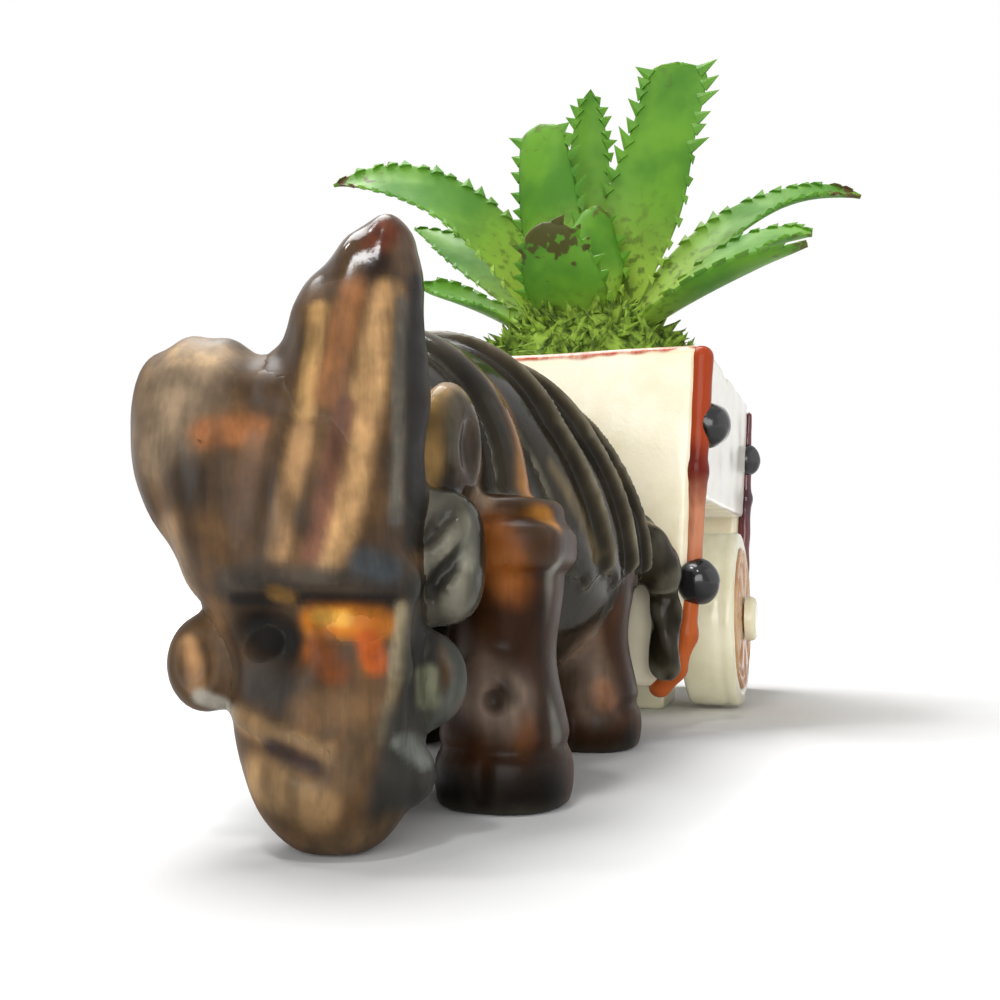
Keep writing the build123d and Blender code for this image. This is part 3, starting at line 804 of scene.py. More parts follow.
            face = soft_cut(face, -ball_distance(u, w, z, middle, halves), 1.6)
        under = chain_distance(u, w, z, [(-8.0, 12.0, 25.4), (8.0, 12.2, 25.6)], [1.5, 1.5])
        face = soft_cut(face, -under, 1.4)
        nostril = chain_distance(u, w, z, [(-3.2, 12.0, 10.9), (1.4, 12.6, 9.8)], [1.2, 1.4], 1.0)
        face = soft_cut(face, -nostril, 1.0)
        folds = 0.28 * np.sin(1.25 * u + 0.05 * z) * np.clip((z - 31) / 4, 0, 1)
        return face + folds

    def horn(self, places: list, radii: list, facet: float) -> Shape:
        """Thick horn through a few places of the head, lightly fluted and thumbed flat in front of its tip."""
        ahead, rise = self.facet_way

        def shape(x: Array, y: Array, z: Array) -> Array:
            """Distance to the horn."""
            u, w = self.to_head(x, y)
            roll = chain_distance(u, w, z, places, radii, 3.0)
            roll = roll + 0.18 * np.sin(1.4 * u + 0.1 * z + 0.7)
            return soft_cut(roll, ahead * w + rise * z - facet, 0.4)

        return shape

    def ear(self, side: int, ahead: float, height: float) -> Shape:
        """Short rounded ear with a hollow in front."""

        def shape(x: Array, y: Array, z: Array) -> Array:
            """Distance to the ear."""
            u, w = self.to_head(x, y)
            flap = ball_distance(side * u, w, z, (11.5, ahead, height), (4.3, 3.0, 5.2))
            cup = ball_distance(side * u, w, z, (12.4, ahead + 3.3, height), (2.4, 1.9, 3.6))
            rib = chain_distance(
                side * u, w, z, [(12.2, ahead + 1.2, height - 2.2), (12.5, ahead + 1.3, height + 2.0)], [0.6, 0.8]
            )
            return soft_join(soft_cut(flap, -cup, 0.7), rib, 0.5)

        return shape

    def eye(self, u_place: float, w_place: float, height: float, radius: float, long: float) -> Shape:
        """Round eye set in its hollow under the brow."""

        def shape(x: Array, y: Array, z: Array) -> Array:
            """Distance to the eye."""
            u, w = self.to_head(x, y)
            return ball_distance(u, w, z, (u_place, w_place, height), (radius * long, radius * 0.6, radius))

        return shape

    def noseband(self, x: Array, y: Array, z: Array) -> Array:
        """Pale strap that slants across the nose and round the jaw."""
        u, w = self.to_head(x, y)
        level = z - 12.5 + (u + 2.0) * math.tan(math.radians(18)) * 1.18
        raised = 0.75 * np.clip((4.0 - u) / 7.0, 0, 1) - 0.25
        return soft_cut(self.head(x, y, z) - raised, np.abs(level) - 1.3, 1.2)

    def lay_out(self) -> None:
        """List every clay piece with the room that it takes."""
        y = self.place_y
        add = self.pieces.append
        head_low, head_high = (-15, -112, -1), (30, -74, 56)
        add(ClayPiece("body_shell", self.body, (-29, -91, 4), (31, 16, 68), 1.0, 0.8, "ox_glaze"))
        add(ClayPiece("neck_collar", self.collar, (-26, y(0.85), 18), (26, y(0.755), 66), 1.0, 0.55, "ochre_glaze"))
        for i in range(len(self.band_shares) - 1):
            low, high = y(self.band_shares[i]) - 2, y(self.band_shares[i + 1]) + 2
            add(ClayPiece(f"back_band_{i + 1}", self.band(i), (-29, low, 23), (29, high + 18, 68), 0.7, 0.5, "ox_glaze"))
        for name, place, front in (("front", self.front_legs, True), ("rear", self.rear_legs, False)):
            for side_name, side in (("left", 1), ("right", -1)):
                mid = side * place[0]
                back = self.stride if front and side < 0 else 0.0
                low, high = (mid - 13, place[1] + back - 13, -1.5), (mid + 13, place[1] + back + 13, 41)
                shape = self.leg(side, (place[0], place[1] + back), front)
                add(ClayPiece(f"{name}_{side_name}_leg", shape, low, high, 2.2, 0.6, "ox_glaze", Coat.LEG))
        add(ClayPiece("tail", self.tail, (8, 3.5, 7), (31, 14, 50), 1.2, 0.5, "ox_glaze"))
        add(ClayPiece("head", self.head, head_low, head_high, 2.0, 0.55, "horn_glaze", Coat.FACE))
        left = [(3.0, 0, 38), (3.0, 0, 48), (3.6, 0, 55.2), (5.6, 0, 61.2), (6.8, 0, 65.0)]
        right = [(-8.0, 0, 35.6), (-11.4, 0, 42), (-12.8, 0, 46.4)]
        horn_low, horn_high = (-20, -106, 28), (28, -76, 72)
        left_horn = self.horn(left, [8.0, 8.0, 6.9, 4.6, 3.0], 29.2)
        add(ClayPiece("left_horn", left_horn, horn_low, horn_high, 3.0, 0.55, "horn_glaze", Coat.FACE))
        right_horn = self.horn(right, [8.0, 8.6, 8.2], 40.0)
        add(ClayPiece("right_horn", right_horn, horn_low, horn_high, 4.0, 0.55, "horn_glaze", Coat.FACE))
        for name, side, ahead, height in (("left_ear", 1, 0.2, 17.2), ("right_ear", -1, 3.2, 19.2)):
            mid = self.from_head(side * 12, ahead, height)
            low, high = tuple(c - 9 for c in mid), tuple(c + 9 for c in mid)
            add(ClayPiece(name, self.ear(side, ahead, height), low, high, 2.4, 0.4, "horn_glaze", Coat.FACE))
        # Both eyes share one amber glaze: the left is given it brightened as if lit (painted light), the right the dark
        # body glaze as if in shade (painted shade).
        for name, u, w, height, radius, long, slot in (
            ("left_eye", 4.4, 8.0, 23.2, 2.3, 1.7, "amber_glaze"),
            ("right_eye", -3.9, 6.8, 21.6, 3.0, 1.0, "ox_glaze"),
        ):
            mid = self.from_head(u, w, height)
            low, high = tuple(c - 6 for c in mid), tuple(c + 6 for c in mid)
            add(ClayPiece(name, self.eye(u, w, height, radius, long), low, high, 0.5, 0.3, slot, Coat.FACE))
        low, high = (-12, -112, 0), (26, -76, 22)
        add(ClayPiece("noseband", self.noseband, low, high, 0.6, 0.4, "strap_glaze", Coat.FACE))

    def mesh_of(self, piece: ClayPiece) -> tuple[Array, Array]:
        """Surface of one piece, cut from the whole so that it runs into its neighbours.

        Args:
            piece: the piece to cut out.

        Returns:
            Points in millimetres and faces.
        """
        low, high, cell = np.array(piece.low, float), np.array(piece.high, float), piece.cell
        low = np.floor(low / cell) * cell
        counts = np.ceil((high - low) / cell).astype(int) + 1
        x, y, z = np.meshgrid(*[low[i] + cell * np.arange(counts[i]) for i in range(3)], indexing="ij", sparse=True)
        whole, own, others = None, None, None
        for other in self.pieces:
            apart = np.any(np.array(other.low) > high + 4) or np.any(np.array(other.high) < low - 4)
            if apart:
                continue
            values = np.broadcast_to(other.shape(x, y, z), counts)
            whole = values if whole is None else soft_join(whole, values, other.softness)
            if other is piece:
                own = values
            else:
                others = values if others is None else np.minimum(others, values)
        if others is not None:
            whole = np.maximum(whole, 0.5 * (own - others) - self.seam * cell)
        return skin(whole, low, cell)

    def colours(self, piece: ClayPiece, points: Array, faces: Array) -> Array:
        """Colours brushed on a piece: a ground coat, the strokes with their painted shade and highlights, then paler
        ridges, and grooves darkened by pooled glaze and painted shade.

        Args:
            piece: the piece.
            points: its points.
            faces: its faces.

        Returns:
            Red, green, blue and how wet the glaze looks, for each point.
        """
        x, y, z = points.T
        ground, wet, depth, edging = COATS[piece.coat]
        colour = np.tile(np.array(tint(ground)), (len(points), 1))
        shine = np.full(len(points), wet)
        if piece.coat is Coat.FACE:
            u, w = self.to_head(x, y)
            front = np.clip((w + 5) / 5, 0, 1)
            back = np.array(tint("#3b3026"))
            colour = back + (colour - back) * front[:, None]
            strokes, places, cover = FACE_STROKES, (u, z), front
            shine = np.maximum(shine, np.exp(-(((z - 63.0) / 5.0) ** 2)))
        else:
            step = self.stride if piece.name == "front_right_leg" else 0.0
            strokes, places, cover = BODY_STROKES, (np.abs(x), y - step, z), np.ones(len(points))
        for stroke in strokes:
            share = (stroke.weight(*places) * cover)[:, None]
            colour = colour + (np.array(tint(stroke.colour)) - colour) * share
        patch = ripple(x, y, z * 0.6, 9, 41) + 0.7 * ripple(x, y, z * 0.5, 4, 42)
        colour = colour * depth * (1 + 0.28 * patch)[:, None]
        if piece.name.startswith("back_band"):
            rise = (self.barrel(x, y, z) - self.band_tuck) / (self.band_rise - self.band_tuck)
            worn = 0.55 * np.clip(rise, 0, 1)[:, None] ** 4
            colour = colour + (np.array(tint("#8f8268")) - colour) * worn
        crest = crests(points, faces, piece.cell)
        ridge = edging * np.clip(crest * 6.0 - 0.15, 0, 0.6)[:, None]
        # Grooves are darkened up to three quarters: pooled glaze, and painted shade in the creases.
        groove = np.clip(-crest * 6.0, 0, 0.75)[:, None]
        colour = colour + (np.array(tint("#95917f")) - colour) * ridge
        return np.concatenate([colour * (1 - groove), shine[:, None]], 1)

    def build(self, finishes: dict) -> None:
        """Cut, paint and set every clay piece of the ox."""
        self.lay_out()
        for piece in self.pieces:
            points, faces = self.mesh_of(piece)
            made = make_piece(
                piece.name + "_clay", points, faces.tolist(), finishes[piece.slot], Body.CART_AND_OX, [piece.name]
            )
            colours = self.colours(piece, points, faces)
            layer = made.data.attributes.new("brushed", "FLOAT_COLOR", "POINT")
            layer.data.foreach_set("color", colours.astype(np.float32).ravel())


# Ground coats: colour, how wet it looks, a factor that scales its colours, and how pale its ridges broke
COATS = {
    Coat.BODY: ("#241f15", 1.0, 1.2, 1.0),
    Coat.FACE: ("#5c4329", 0.2, 0.74, 0.2),
    Coat.LEG: ("#38200f", 0.45, 1.0, 0.3),
}

# Strokes on the front of the face and horns, glaze colours with painted shade and highlights among them: side shift and
# height
FACE_STROKES = (
    BrushStroke((-15.6, 42.5), (-12.1, 52.0), 5.0, "#9c866c", 0.8),
    # Pale ochre on top of the right horn: a painted highlight.
    BrushStroke((-13.7, 51.6), (-10.8, 51.6), 1.8, "#c4a47a", 0.8),
    BrushStroke((-10.2, 42.7), (-5.6, 43.1), 1.8, "#a0653a", 0.9),
    BrushStroke((-11.7, 37.6), (-2.9, 37.6), 3.0, "#463525", 0.9),
    BrushStroke((-13.0, 27.0), (-14.4, 33.0), 1.8, "#9a7d5c", 0.8),
    BrushStroke((0.6, 56.0), (-0.3, 45.0), 1.1, "#c79c62", 0.9),
    BrushStroke((7.1, 65.6), (6.2, 63.6), 1.8, "#6a2f18", 0.9),
    BrushStroke((6.6, 61.6), (6.4, 59.6), 1.6, "#2c1a12", 0.9),
    BrushStroke((4.3, 58.4), (2.1, 47.0), 1.6, "#90603a", 0.95),
    BrushStroke((7.8, 58.0), (3.5, 29.9), 1.7, "#cda16d", 0.95),
    BrushStroke((3.9, 45.6), (1.5, 30.4), 1.2, "#6b4636", 0.9),
    BrushStroke((-0.4, 42.9), (-2.1, 30.7), 1.2, "#bc9264", 0.85),
    BrushStroke((-5.0, 42.0), (-6.0, 32.0), 1.4, "#6d5340", 0.7),
    # Grey then near-black down the right side of the tall horn: painted shade where it turns from the light.
    BrushStroke((9.2, 57.4), (8.9, 34.0), 0.7, "#7d776a", 0.9),
    BrushStroke((10.8, 60.0), (10.6, 32.0), 1.3, "#0f0c09", 0.97),
    # Dark bands under the brow: painted shadow of the brow.
    BrushStroke((-7.0, 27.4), (9.2, 27.6), 2.0, "#3f372f", 0.95),
    BrushStroke((-6.6, 26.0), (9.0, 25.8), 0.8, "#120d0a", 0.95),
    BrushStroke((-2.6, 26.6), (-1.4, 26.2), 0.9, "#8a6630", 0.8),
    BrushStroke((6.3, 29.8), (8.4, 29.0), 1.6, "#4c5459", 0.85),
    # Near-black over the right eye and dark grey below it: painted shade in the eye's hollow.
    BrushStroke((-5.0, 17.6), (-1.8, 16.6), 2.7, "#3a3531", 0.97),
    BrushStroke((-4.6, 22.8), (-2.4, 21.6), 3.0, "#080605", 1.0),
    BrushStroke((-9.6, 24.5), (-9.2, 17.5), 1.4, "#6e5236", 0.8),
    # Orange over the left eye, brighter in its middle: the amber glaze painted as if lit, with a painted highlight.
    BrushStroke((1.5, 23.7), (7.4, 23.5), 1.7, "#d07a18", 1.0),
    BrushStroke((1.7, 24.2), (4.2, 24.0), 0.9, "#eab048", 0.9),
    BrushStroke((6.4, 21.8), (7.2, 19.6), 1.3, "#c25a16", 0.95),
    BrushStroke((1.4, 20.8), (3.2, 18.9), 1.6, "#8a4a1c", 0.95),
    BrushStroke((1.0, 15.2), (5.6, 14.6), 2.2, "#77593a", 0.8),
    BrushStroke((10.0, 25.0), (9.4, 18.4), 0.9, "#c8b892", 0.85),
    BrushStroke((9.4, 18.4), (8.0, 12.0), 0.7, "#8d7c5c", 0.8),
    # Near-black and dark grey down the right side of the face and jaw: painted shade on the side turned from the light.
    BrushStroke((11.9, 27.0), (11.2, 16.0), 2.0, "#1d1f1d", 0.97),
    BrushStroke((10.0, 13.6), (8.6, 4.6), 2.3, "#2d2d29", 0.95),
    BrushStroke((12.0, 9.4), (10.6, 3.6), 2.4, "#2d2d29", 0.95),
    # Light grey on the jaw knob: a painted highlight.
    BrushStroke((9.8, 11.6), (11.8, 9.2), 0.9, "#7d8079", 0.9),
    BrushStroke((14.4, 21.6), (15.6, 17.4), 1.3, "#4a4d48", 0.95),
    BrushStroke((15.6, 17.4), (12.6, 12.8), 1.3, "#4a4d48", 0.95),
    BrushStroke((11.8, 18.0), (12.0, 15.4), 1.1, "#7f8068", 0.9),
    BrushStroke((-13.0, 21.2), (-12.0, 17.0), 1.1, "#b0855a", 0.9),
    BrushStroke((-11.6, 15.8), (-7.6, 14.0), 0.9, "#c9c2b2", 0.95),
    BrushStroke((-7.0, 13.9), (2.6, 10.9), 1.3, "#957650", 0.8),
    BrushStroke((-2.6, 11.4), (1.2, 9.7), 1.15, "#3c2a26", 0.97),
    BrushStroke((-4.4, 8.4), (1.6, 5.8), 2.4, "#a9875c", 0.9),
    BrushStroke((1.6, 0.6), (8.7, 2.6), 2.3, "#57442f", 0.95),
    BrushStroke((4.8, 8.4), (6.0, 12.0), 1.5, "#5d4933", 0.8),
)

# Strokes on the body and legs, the same on both sides, glaze colours with painted shade and highlights among them:
# points of the frame
BODY_STROKES = (
    BrushStroke((0, -65, 61), (15.2, -62, 53.8), 2.6, "#7a5a2c", 0.85),
    BrushStroke((15.2, -61.5, 53.8), (20.4, -64, 36), 2.8, "#a26c2c", 0.95),
    BrushStroke((17, -15, 50), (22.5, -20, 40), 2.2, "#9a6b2c", 0.85),
    BrushStroke((21.3, -52.4, 44), (24, -37.6, 31), 1.6, "#5f5136", 0.8),
    BrushStroke((12, -74, 35.4), (26, -70, 35.4), 1.7, "#b5792c", 0.95),
    BrushStroke((18.6, -75, 33), (21.8, -75, 27), 3.1, "#8a4f20", 0.95),
    BrushStroke((13.5, -76, 17.5), (21, -76, 13), 4.6, "#7f6c5e", 0.95),
    BrushStroke((20.6, -75.6, 15.2), (21.4, -75.6, 14.0), 1.5, "#24130c", 0.97),
    BrushStroke((23.6, -74, 11), (22.8, -74, 8.4), 1.8, "#7a4a26", 0.7),
    BrushStroke((25.4, -70, 29.5), (25.6, -69, 9), 1.3, "#8f8d84", 0.85),
    # Near-black at the foot of the front legs: dark hoof glaze, darkened further as painted shade at the floor.
    BrushStroke((8, -75, 1.8), (25, -71, 2.2), 4.6, "#080706", 0.97),
    BrushStroke((14, -22.5, 21), (19, -22.5, 9), 4.8, "#6c5a4c", 0.95),
    # Pale spot on the rear leg: a painted highlight.
    BrushStroke((20, -21, 10), (20.4, -21, 8.6), 2.0, "#b07a58", 0.6),
    # Near-black at the foot of the rear legs: dark hoof glaze, darkened further as painted shade at the floor.
    BrushStroke((8, -22, 1.2), (24, -18, 1.2), 3.2, "#17130f", 0.95),
    BrushStroke((21, 5, 38.5), (25, 7, 34.5), 1.5, "#9a6b2c", 0.9),
    BrushStroke((14.6, -87, 36), (18.6, -85.4, 26), 4.8, "#3f3d36", 0.9),
    # Pale grey lines on the jowl's folds: painted highlights.
    BrushStroke((20.6, -84.6, 36), (19.4, -85.4, 30), 1.2, "#918f80", 0.7),
    BrushStroke((13.2, -87.4, 33.4), (13.4, -87.4, 28.8), 1.2, "#8d8878", 0.7),
    BrushStroke((13.6, -84, 38), (13.6, -80, 51), 1.8, "#a88550", 0.9),
    BrushStroke((14.4, -79, 51.4), (17.6, -71, 46), 1.8, "#927659", 0.9),
    BrushStroke((17.6, -71.4, 46), (17.8, -75, 38), 1.8, "#8c7763", 0.9),
    # Dark brown in the pad's hollow: painted shade.
    BrushStroke((16.4, -78.4, 47), (17.0, -78.4, 40), 2.6, "#4a3c30", 0.95),
)


# The cart


@dataclass
class Cart:
    """The cart: a flared tub between two shaped boards, with posts and beads along their edges."""

    front: float = 14.0
    depth: float = 88.0
    rim: float = 73.0
    rim_half: float = 32.6
    shoulder: float = 44.0
    shoulder_half: float = 30.9
    bed_half: float = 21.0
    bottom: float = 8.0
    wall: float = 4.5
    floor: float = 5.0
    board: float = 4.6
    post_radius: float = 2.3
    post_path: tuple = ((31.7, 70.7), (30.5, 48.9), (29.3, 27.0), (28.2, 17.5), (25.9, 11.2), (23.0, 7.6))
    post_shares: tuple = (1.0, 0.92, 0.74, 0.85, 0.95, 0.95)
    rear_post_shares: tuple = (0.34, 0.66, 0.74, 0.8, 0.9, 0.9)
    rear_post_out: float = 0.9
    bead_radius: float = 4.3
    bead_places: tuple = (("front", 57.8, 1.6, 2.4), ("front", 27.6, 1.2, -0.6), ("rear", 59.0, 0.0, 0.0), ("rear", 28.6, -4.0, 0.0))
    cell: float = 0.7

    def tub_shape(self, x: Array, y: Array, z: Array) -> Array:
        """Distance to the tub, a little uneven as a slab-built pot is."""
        outer = [(self.bed_half, self.bottom), (self.bed_half, self.shoulder), (self.shoulder_half, self.shoulder)]
        outer += [(self.rim_half, self.rim)]
        inner_half = self.bed_half - self.wall
        ledge = self.shoulder + self.floor
        flare = (self.rim_half - self.shoulder_half) / (self.rim - self.shoulder)
        ledge_half = self.shoulder_half + flare * self.floor - self.wall
        inner = [(inner_half, self.bottom + self.floor), (inner_half, ledge), (ledge_half, ledge)]
        inner += [(self.rim_half - self.wall, self.rim + 8)]
        both = [o + [(-px, pz) for px, pz in o[::-1]] for o in (outer, inner)]
        start, end = self.front + self.board, self.front + self.depth - self.board
        shell = slab_distance(outline_distance(x, z, both[0]), y, start - 0.6, end + 0.6, 1.3)
        room = slab_distance(outline_distance(x, z, both[1]), y, start + self.wall, end - self.wall, 1.0)
        return soft_cut(shell, -room, 1.2) + 0.16 * ripple(x, y, z, 30, 3)

    def board_shape(self, start: float) -> Shape:
        """Board across one end, wide at the rim and drawn in at the foot."""
        sides = [(px - 0.6, pz) for px, pz in self.post_path]
        outline = [(self.post_path[0][0] - 0.6, self.rim)] + sides + [(0, self.post_path[-1][1])]
        outline += [(-px, pz) for px, pz in outline[-2::-1]]

        def shape(x: Array, y: Array, z: Array) -> Array:
            """Distance to the board."""
            flat = outline_distance(x, z, outline)
            return slab_distance(flat, y, start, start + self.board, 1.5) + 0.15 * ripple(x, y, z, 24, 7)

        return shape

    def post_shape(self, side: int, y_place: float, shares: tuple, out: float) -> Shape:
        """Round post down one edge of a board."""

        def shape(x: Array, y: Array, z: Array) -> Array:
            """Distance to the post."""
            places = [(side * (px + out), y_place, pz) for px, pz in self.post_path]
            radii = [self.post_radius * share for share in shares]
            return chain_distance(x, y, z, places, radii, 1.5) + 0.14 * ripple(x, y, z, 9, 11)

        return shape

    def bead_shape(self, side: int, y_place: float, height: float, out: float) -> Shape:
        """Round bead pressed on a post."""
        line = self.post_path[::-1]
        x_place = side * (float(np.interp(height, [p[1] for p in line], [p[0] for p in line])) + out)

        def shape(x: Array, y: Array, z: Array) -> Array:
            """Distance to the bead."""
            r = self.bead_radius
            return ball_distance(x, y, z, (x_place, y_place, height), (r, r, r * 1.02)) + 0.2 * ripple(x, y, z, 6, 5)

        return shape

    def cut(self, shape: Shape, low: Triple, high: Triple, cell: float) -> tuple[Array, Array]:
        """Surface of one form inside its room."""
        low = np.array(low, float)
        counts = np.ceil((np.array(high) - low) / cell).astype(int) + 1
        x, y, z = np.meshgrid(*[low[i] + cell * np.arange(counts[i]) for i in range(3)], indexing="ij", sparse=True)
        return skin(np.broadcast_to(shape(x, y, z), counts), low, cell)

    def build(self, finishes: dict) -> None:
        """Make every fixed piece of the cart."""
        ends = self.front + self.depth
        post_ys = {"front": self.front + self.post_radius, "rear": ends - self.post_radius}
        fixed = Body.CART_AND_OX
        points, faces = self.cut(self.tub_shape, (-35, 15, 5), (35, 101, 76), 0.9)
        make_piece("cart_tub_clay", points, faces.tolist(), finishes["tub_white_painted_lit"], fixed, ["cart_tub"])
        for name, start in (("front", self.front), ("rear", ends - self.board)):
            points, faces = self.cut(self.board_shape(start), (-34, start - 2, 5), (34, start + 7, 76), self.cell)
            board = f"{name}_board"
            make_piece(board + "_clay", points, faces.tolist(), finishes["cart_cream"], fixed, [board])
        beads = []
        for end_name, y_place in post_ys.items():
            at_front = end_name == "front"
            shares = self.post_shares if at_front else self.rear_post_shares
            out = 0.0 if at_front else self.rear_post_out
            red = finishes["edge_red" if at_front else "edge_maroon"]
            for side_name, side in (("left", 1), ("right", -1)):
                post = f"{end_name}_{side_name}_post"
                low, high = sorted((side * 18.0, side * 36.0))
                room = (low, y_place - 5, 3), (high, y_place + 5, 76)
                points, faces = self.cut(self.post_shape(side, y_place, shares, out), *room, 0.45)
                make_piece(post + "_clay", points, faces.tolist(), red, fixed, [post])
                for at_end, height, proud, back in self.bead_places:
                    if at_end == end_name:
                        bead = self.bead_shape(side, y_place + back, height, proud)
                        room = (low - 2, y_place - 9, height - 6.5), (high + 2, y_place + 9, height + 6.5)
                        beads.append(self.cut(bead, *room, 0.45))
        starts = np.cumsum([0] + [len(points) for points, _ in beads[:-1]])
        points = np.concatenate([points for points, _ in beads])
        faces = np.concatenate([faces + start for (_, faces), start in zip(beads, starts)])
        make_piece("edge_studs_clay", points, faces.tolist(), finishes["stud_dark"], fixed, ["edge_studs"])

        def block(x: Array, y: Array, z: Array) -> Array:
            """Distance to the support block."""
            outline = [(-19, 44), (19, 44), (19, 60), (-19, 60)]
            return slab_distance(outline_distance(x, y, outline), z, 0, self.bottom + 0.3, 1.2)

        points, faces = self.cut(block, (-22, 41, -2), (22, 63, 11), 0.8)
        make_piece("support_block_clay", points, faces.tolist(), finishes["wheel_cream"], fixed, ["support_block"])


@dataclass
class RunningGear:
    """The wheels with their carved faces, on their pegs."""

    radius: float = 19.3
    axle_y: float = 52.0
    axle_z: float = 19.5
    inner: float = 23.6
    outer: float = 35.6
    bore: float = 2.83
    rosette_radius: float = 15.2
    rosette_depth: float = 1.8
    petals: int = 8
    cell: float = 0.5

    def wheel_shape(self, side: int) -> Shape:
        """Solid wheel with a grooved tread and a seat for its carved disc."""
        seat = self.outer - self.rosette_depth
        outline = [(self.inner, self.bore), (self.inner, self.radius), (self.outer, self.radius)]
        outline += [(self.outer, self.rosette_radius + 0.15), (seat, self.rosette_radius + 0.15), (seat, self.bore)]

        def shape(x: Array, y: Array, z: Array) -> Array:
            """Distance to the wheel."""
            far = np.sqrt((y - self.axle_y) ** 2 + (z - self.axle_z) ** 2)
            disc = outline_distance(side * x + 0 * far, far + 0 * x, outline)
            disc = soft_cut(disc, far - self.radius, 2.0)
            disc = soft_cut(disc, np.abs(side * x - (self.inner + self.outer) / 2) - (self.outer - self.inner) / 2, 2.0)
            groove = np.sqrt((far - self.radius - 0.2) ** 2 + (side * x - self.outer + 3.3) ** 2) - 0.9
            return soft_cut(disc, -groove, 0.6) + 0.08 * ripple(x, y, z, 14, 9)

        return shape

    def rosette_shape(self, side: int) -> Shape:
        """Carved disc: raised petals with hollow middles round a plain hub."""

        def shape(x: Array, y: Array, z: Array) -> Array:
            """Distance to the disc."""
            dy, dz = y - self.axle_y, z - self.axle_z
            far, turn = np.sqrt(dy**2 + dz**2), np.arctan2(dz, dy)
            wave = np.cos(self.petals * turn)
            hollow = np.exp(-(((far - 9.6) / 3.0) ** 2)) * np.clip(wave, 0, 1) * 0.95
            groove = 0.5 * np.exp(-(((far - 13.2 - 0.7 * wave) / 0.6) ** 2))
            face = side * x - (self.outer - 0.05) + hollow + groove
            disc = np.maximum(far - self.rosette_radius, self.bore + 0.1 - far)
            return soft_cut(soft_cut(disc, face, 0.5), self.outer - self.rosette_depth + 0.05 - side * x, 0.3)

        return shape

    def build(self, cart: Cart, finishes: dict) -> None:
        """Make both wheels and their carved discs, and dress the pegs and caps."""
        for name, side, body in (("left", 1, Body.LEFT_WHEEL), ("right", -1, Body.RIGHT_WHEEL)):
            low, high = sorted((side * (self.inner - 2), side * (self.outer + 2)))
            span = self.radius + 1.5
            room = (low, self.axle_y - span, self.axle_z - span), (high, self.axle_y + span, self.axle_z + span)
            points, faces = cart.cut(self.wheel_shape(side), *room, self.cell)
            wheel = f"{name}_wheel"
            make_piece(wheel + "_clay", points, faces.tolist(), finishes["wheel_cream"], body, [wheel])
            points, faces = cart.cut(self.rosette_shape(side), *room, 0.4)
            disc = f"{name}_wheel_rosette"
            make_piece(disc + "_clay", points, faces.tolist(), finishes["rosette_orange"], body, [disc])
            for node, slot in ((f"{name}_axle_peg", "bare_clay"), (f"{name}_hub_cap", "wheel_cream")):
                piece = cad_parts[node]
                piece.data.materials.clear()
                piece.data.materials.append(finishes[slot])


# The plant


@dataclass(frozen=True)
class LeafPlan:
    """One leaf: where it leaves the core, its middle and its tip, in shares of the plant's size."""

    name: str
    azimuth: float
    root: float
    middle: Triple
    tip: Triple
    width: float
    browning: float = 0.35
    roll: float = 0.0
    blunt: float = 0.0
    bite: float = 1.0


LEAVES = (
    LeafPlan("tall_leaf", 70, 0.215, (0.235, 0.02, 0.63), (0.355, 0.00, 0.98), 0.92, 0.3, 12, 0.75, 1.4),
    LeafPlan("slim_leaf", 108, 0.215, (-0.04, 0.16, 0.70), (-0.035, 0.19, 1.00), 0.50, 0.2),
    LeafPlan("brown_tip_leaf", 222, 0.235, (-0.15, -0.06, 0.57), (-0.175, -0.06, 0.82), 0.80, 0.5, 34, 0.6, 1.3),
    LeafPlan("heart_leaf", 300, 0.225, (0.04, -0.10, 0.38), (0.05, -0.08, 0.54), 0.70, 0.7, 0, 0.2),
    LeafPlan("rear_upright_leaf", 148, 0.22, (-0.17, 0.22, 0.49), (-0.24, 0.36, 0.72), 0.72),
    LeafPlan("left_arching_leaf", 188, 0.155, (-0.50, -0.13, 0.575), (-0.985, -0.20, 0.66), 0.84, 1.0, -48),
    LeafPlan("left_second_leaf", 156, 0.125, (-0.52, 0.17, 0.46), (-0.83, 0.27, 0.62), 0.62, 0.4, -25),
    LeafPlan("left_low_leaf", 225, 0.115, (-0.36, -0.24, 0.24), (-0.56, -0.34, 0.28), 0.70, 0.5, -35),
    LeafPlan("right_arching_leaf", 18, 0.16, (0.58, 0.15, 0.53), (0.995, 0.22, 0.57), 0.56, 1.0, 38),
    LeafPlan("right_second_leaf", 345, 0.145, (0.55, -0.10, 0.355), (0.83, -0.13, 0.385), 0.84, 0.6, 34),
    LeafPlan("right_low_leaf", 312, 0.11, (0.50, -0.27, 0.25), (0.82, -0.30, 0.32), 0.70, 0.8, 20),
    LeafPlan("front_leaf", 268, 0.13, (-0.03, -0.31, 0.27), (-0.06, -0.45, 0.41), 0.92, 2.0, 0, 0.3),
    LeafPlan("rear_left_leaf", 122, 0.135, (-0.28, 0.42, 0.40), (-0.45, 0.62, 0.50), 0.80),
    LeafPlan("rear_right_leaf", 57, 0.145, (0.34, 0.42, 0.42), (0.53, 0.60, 0.54), 0.80),
    LeafPlan("rear_low_leaf", 90, 0.115, (0.03, 0.46, 0.28), (0.04, 0.70, 0.33), 0.78),
)


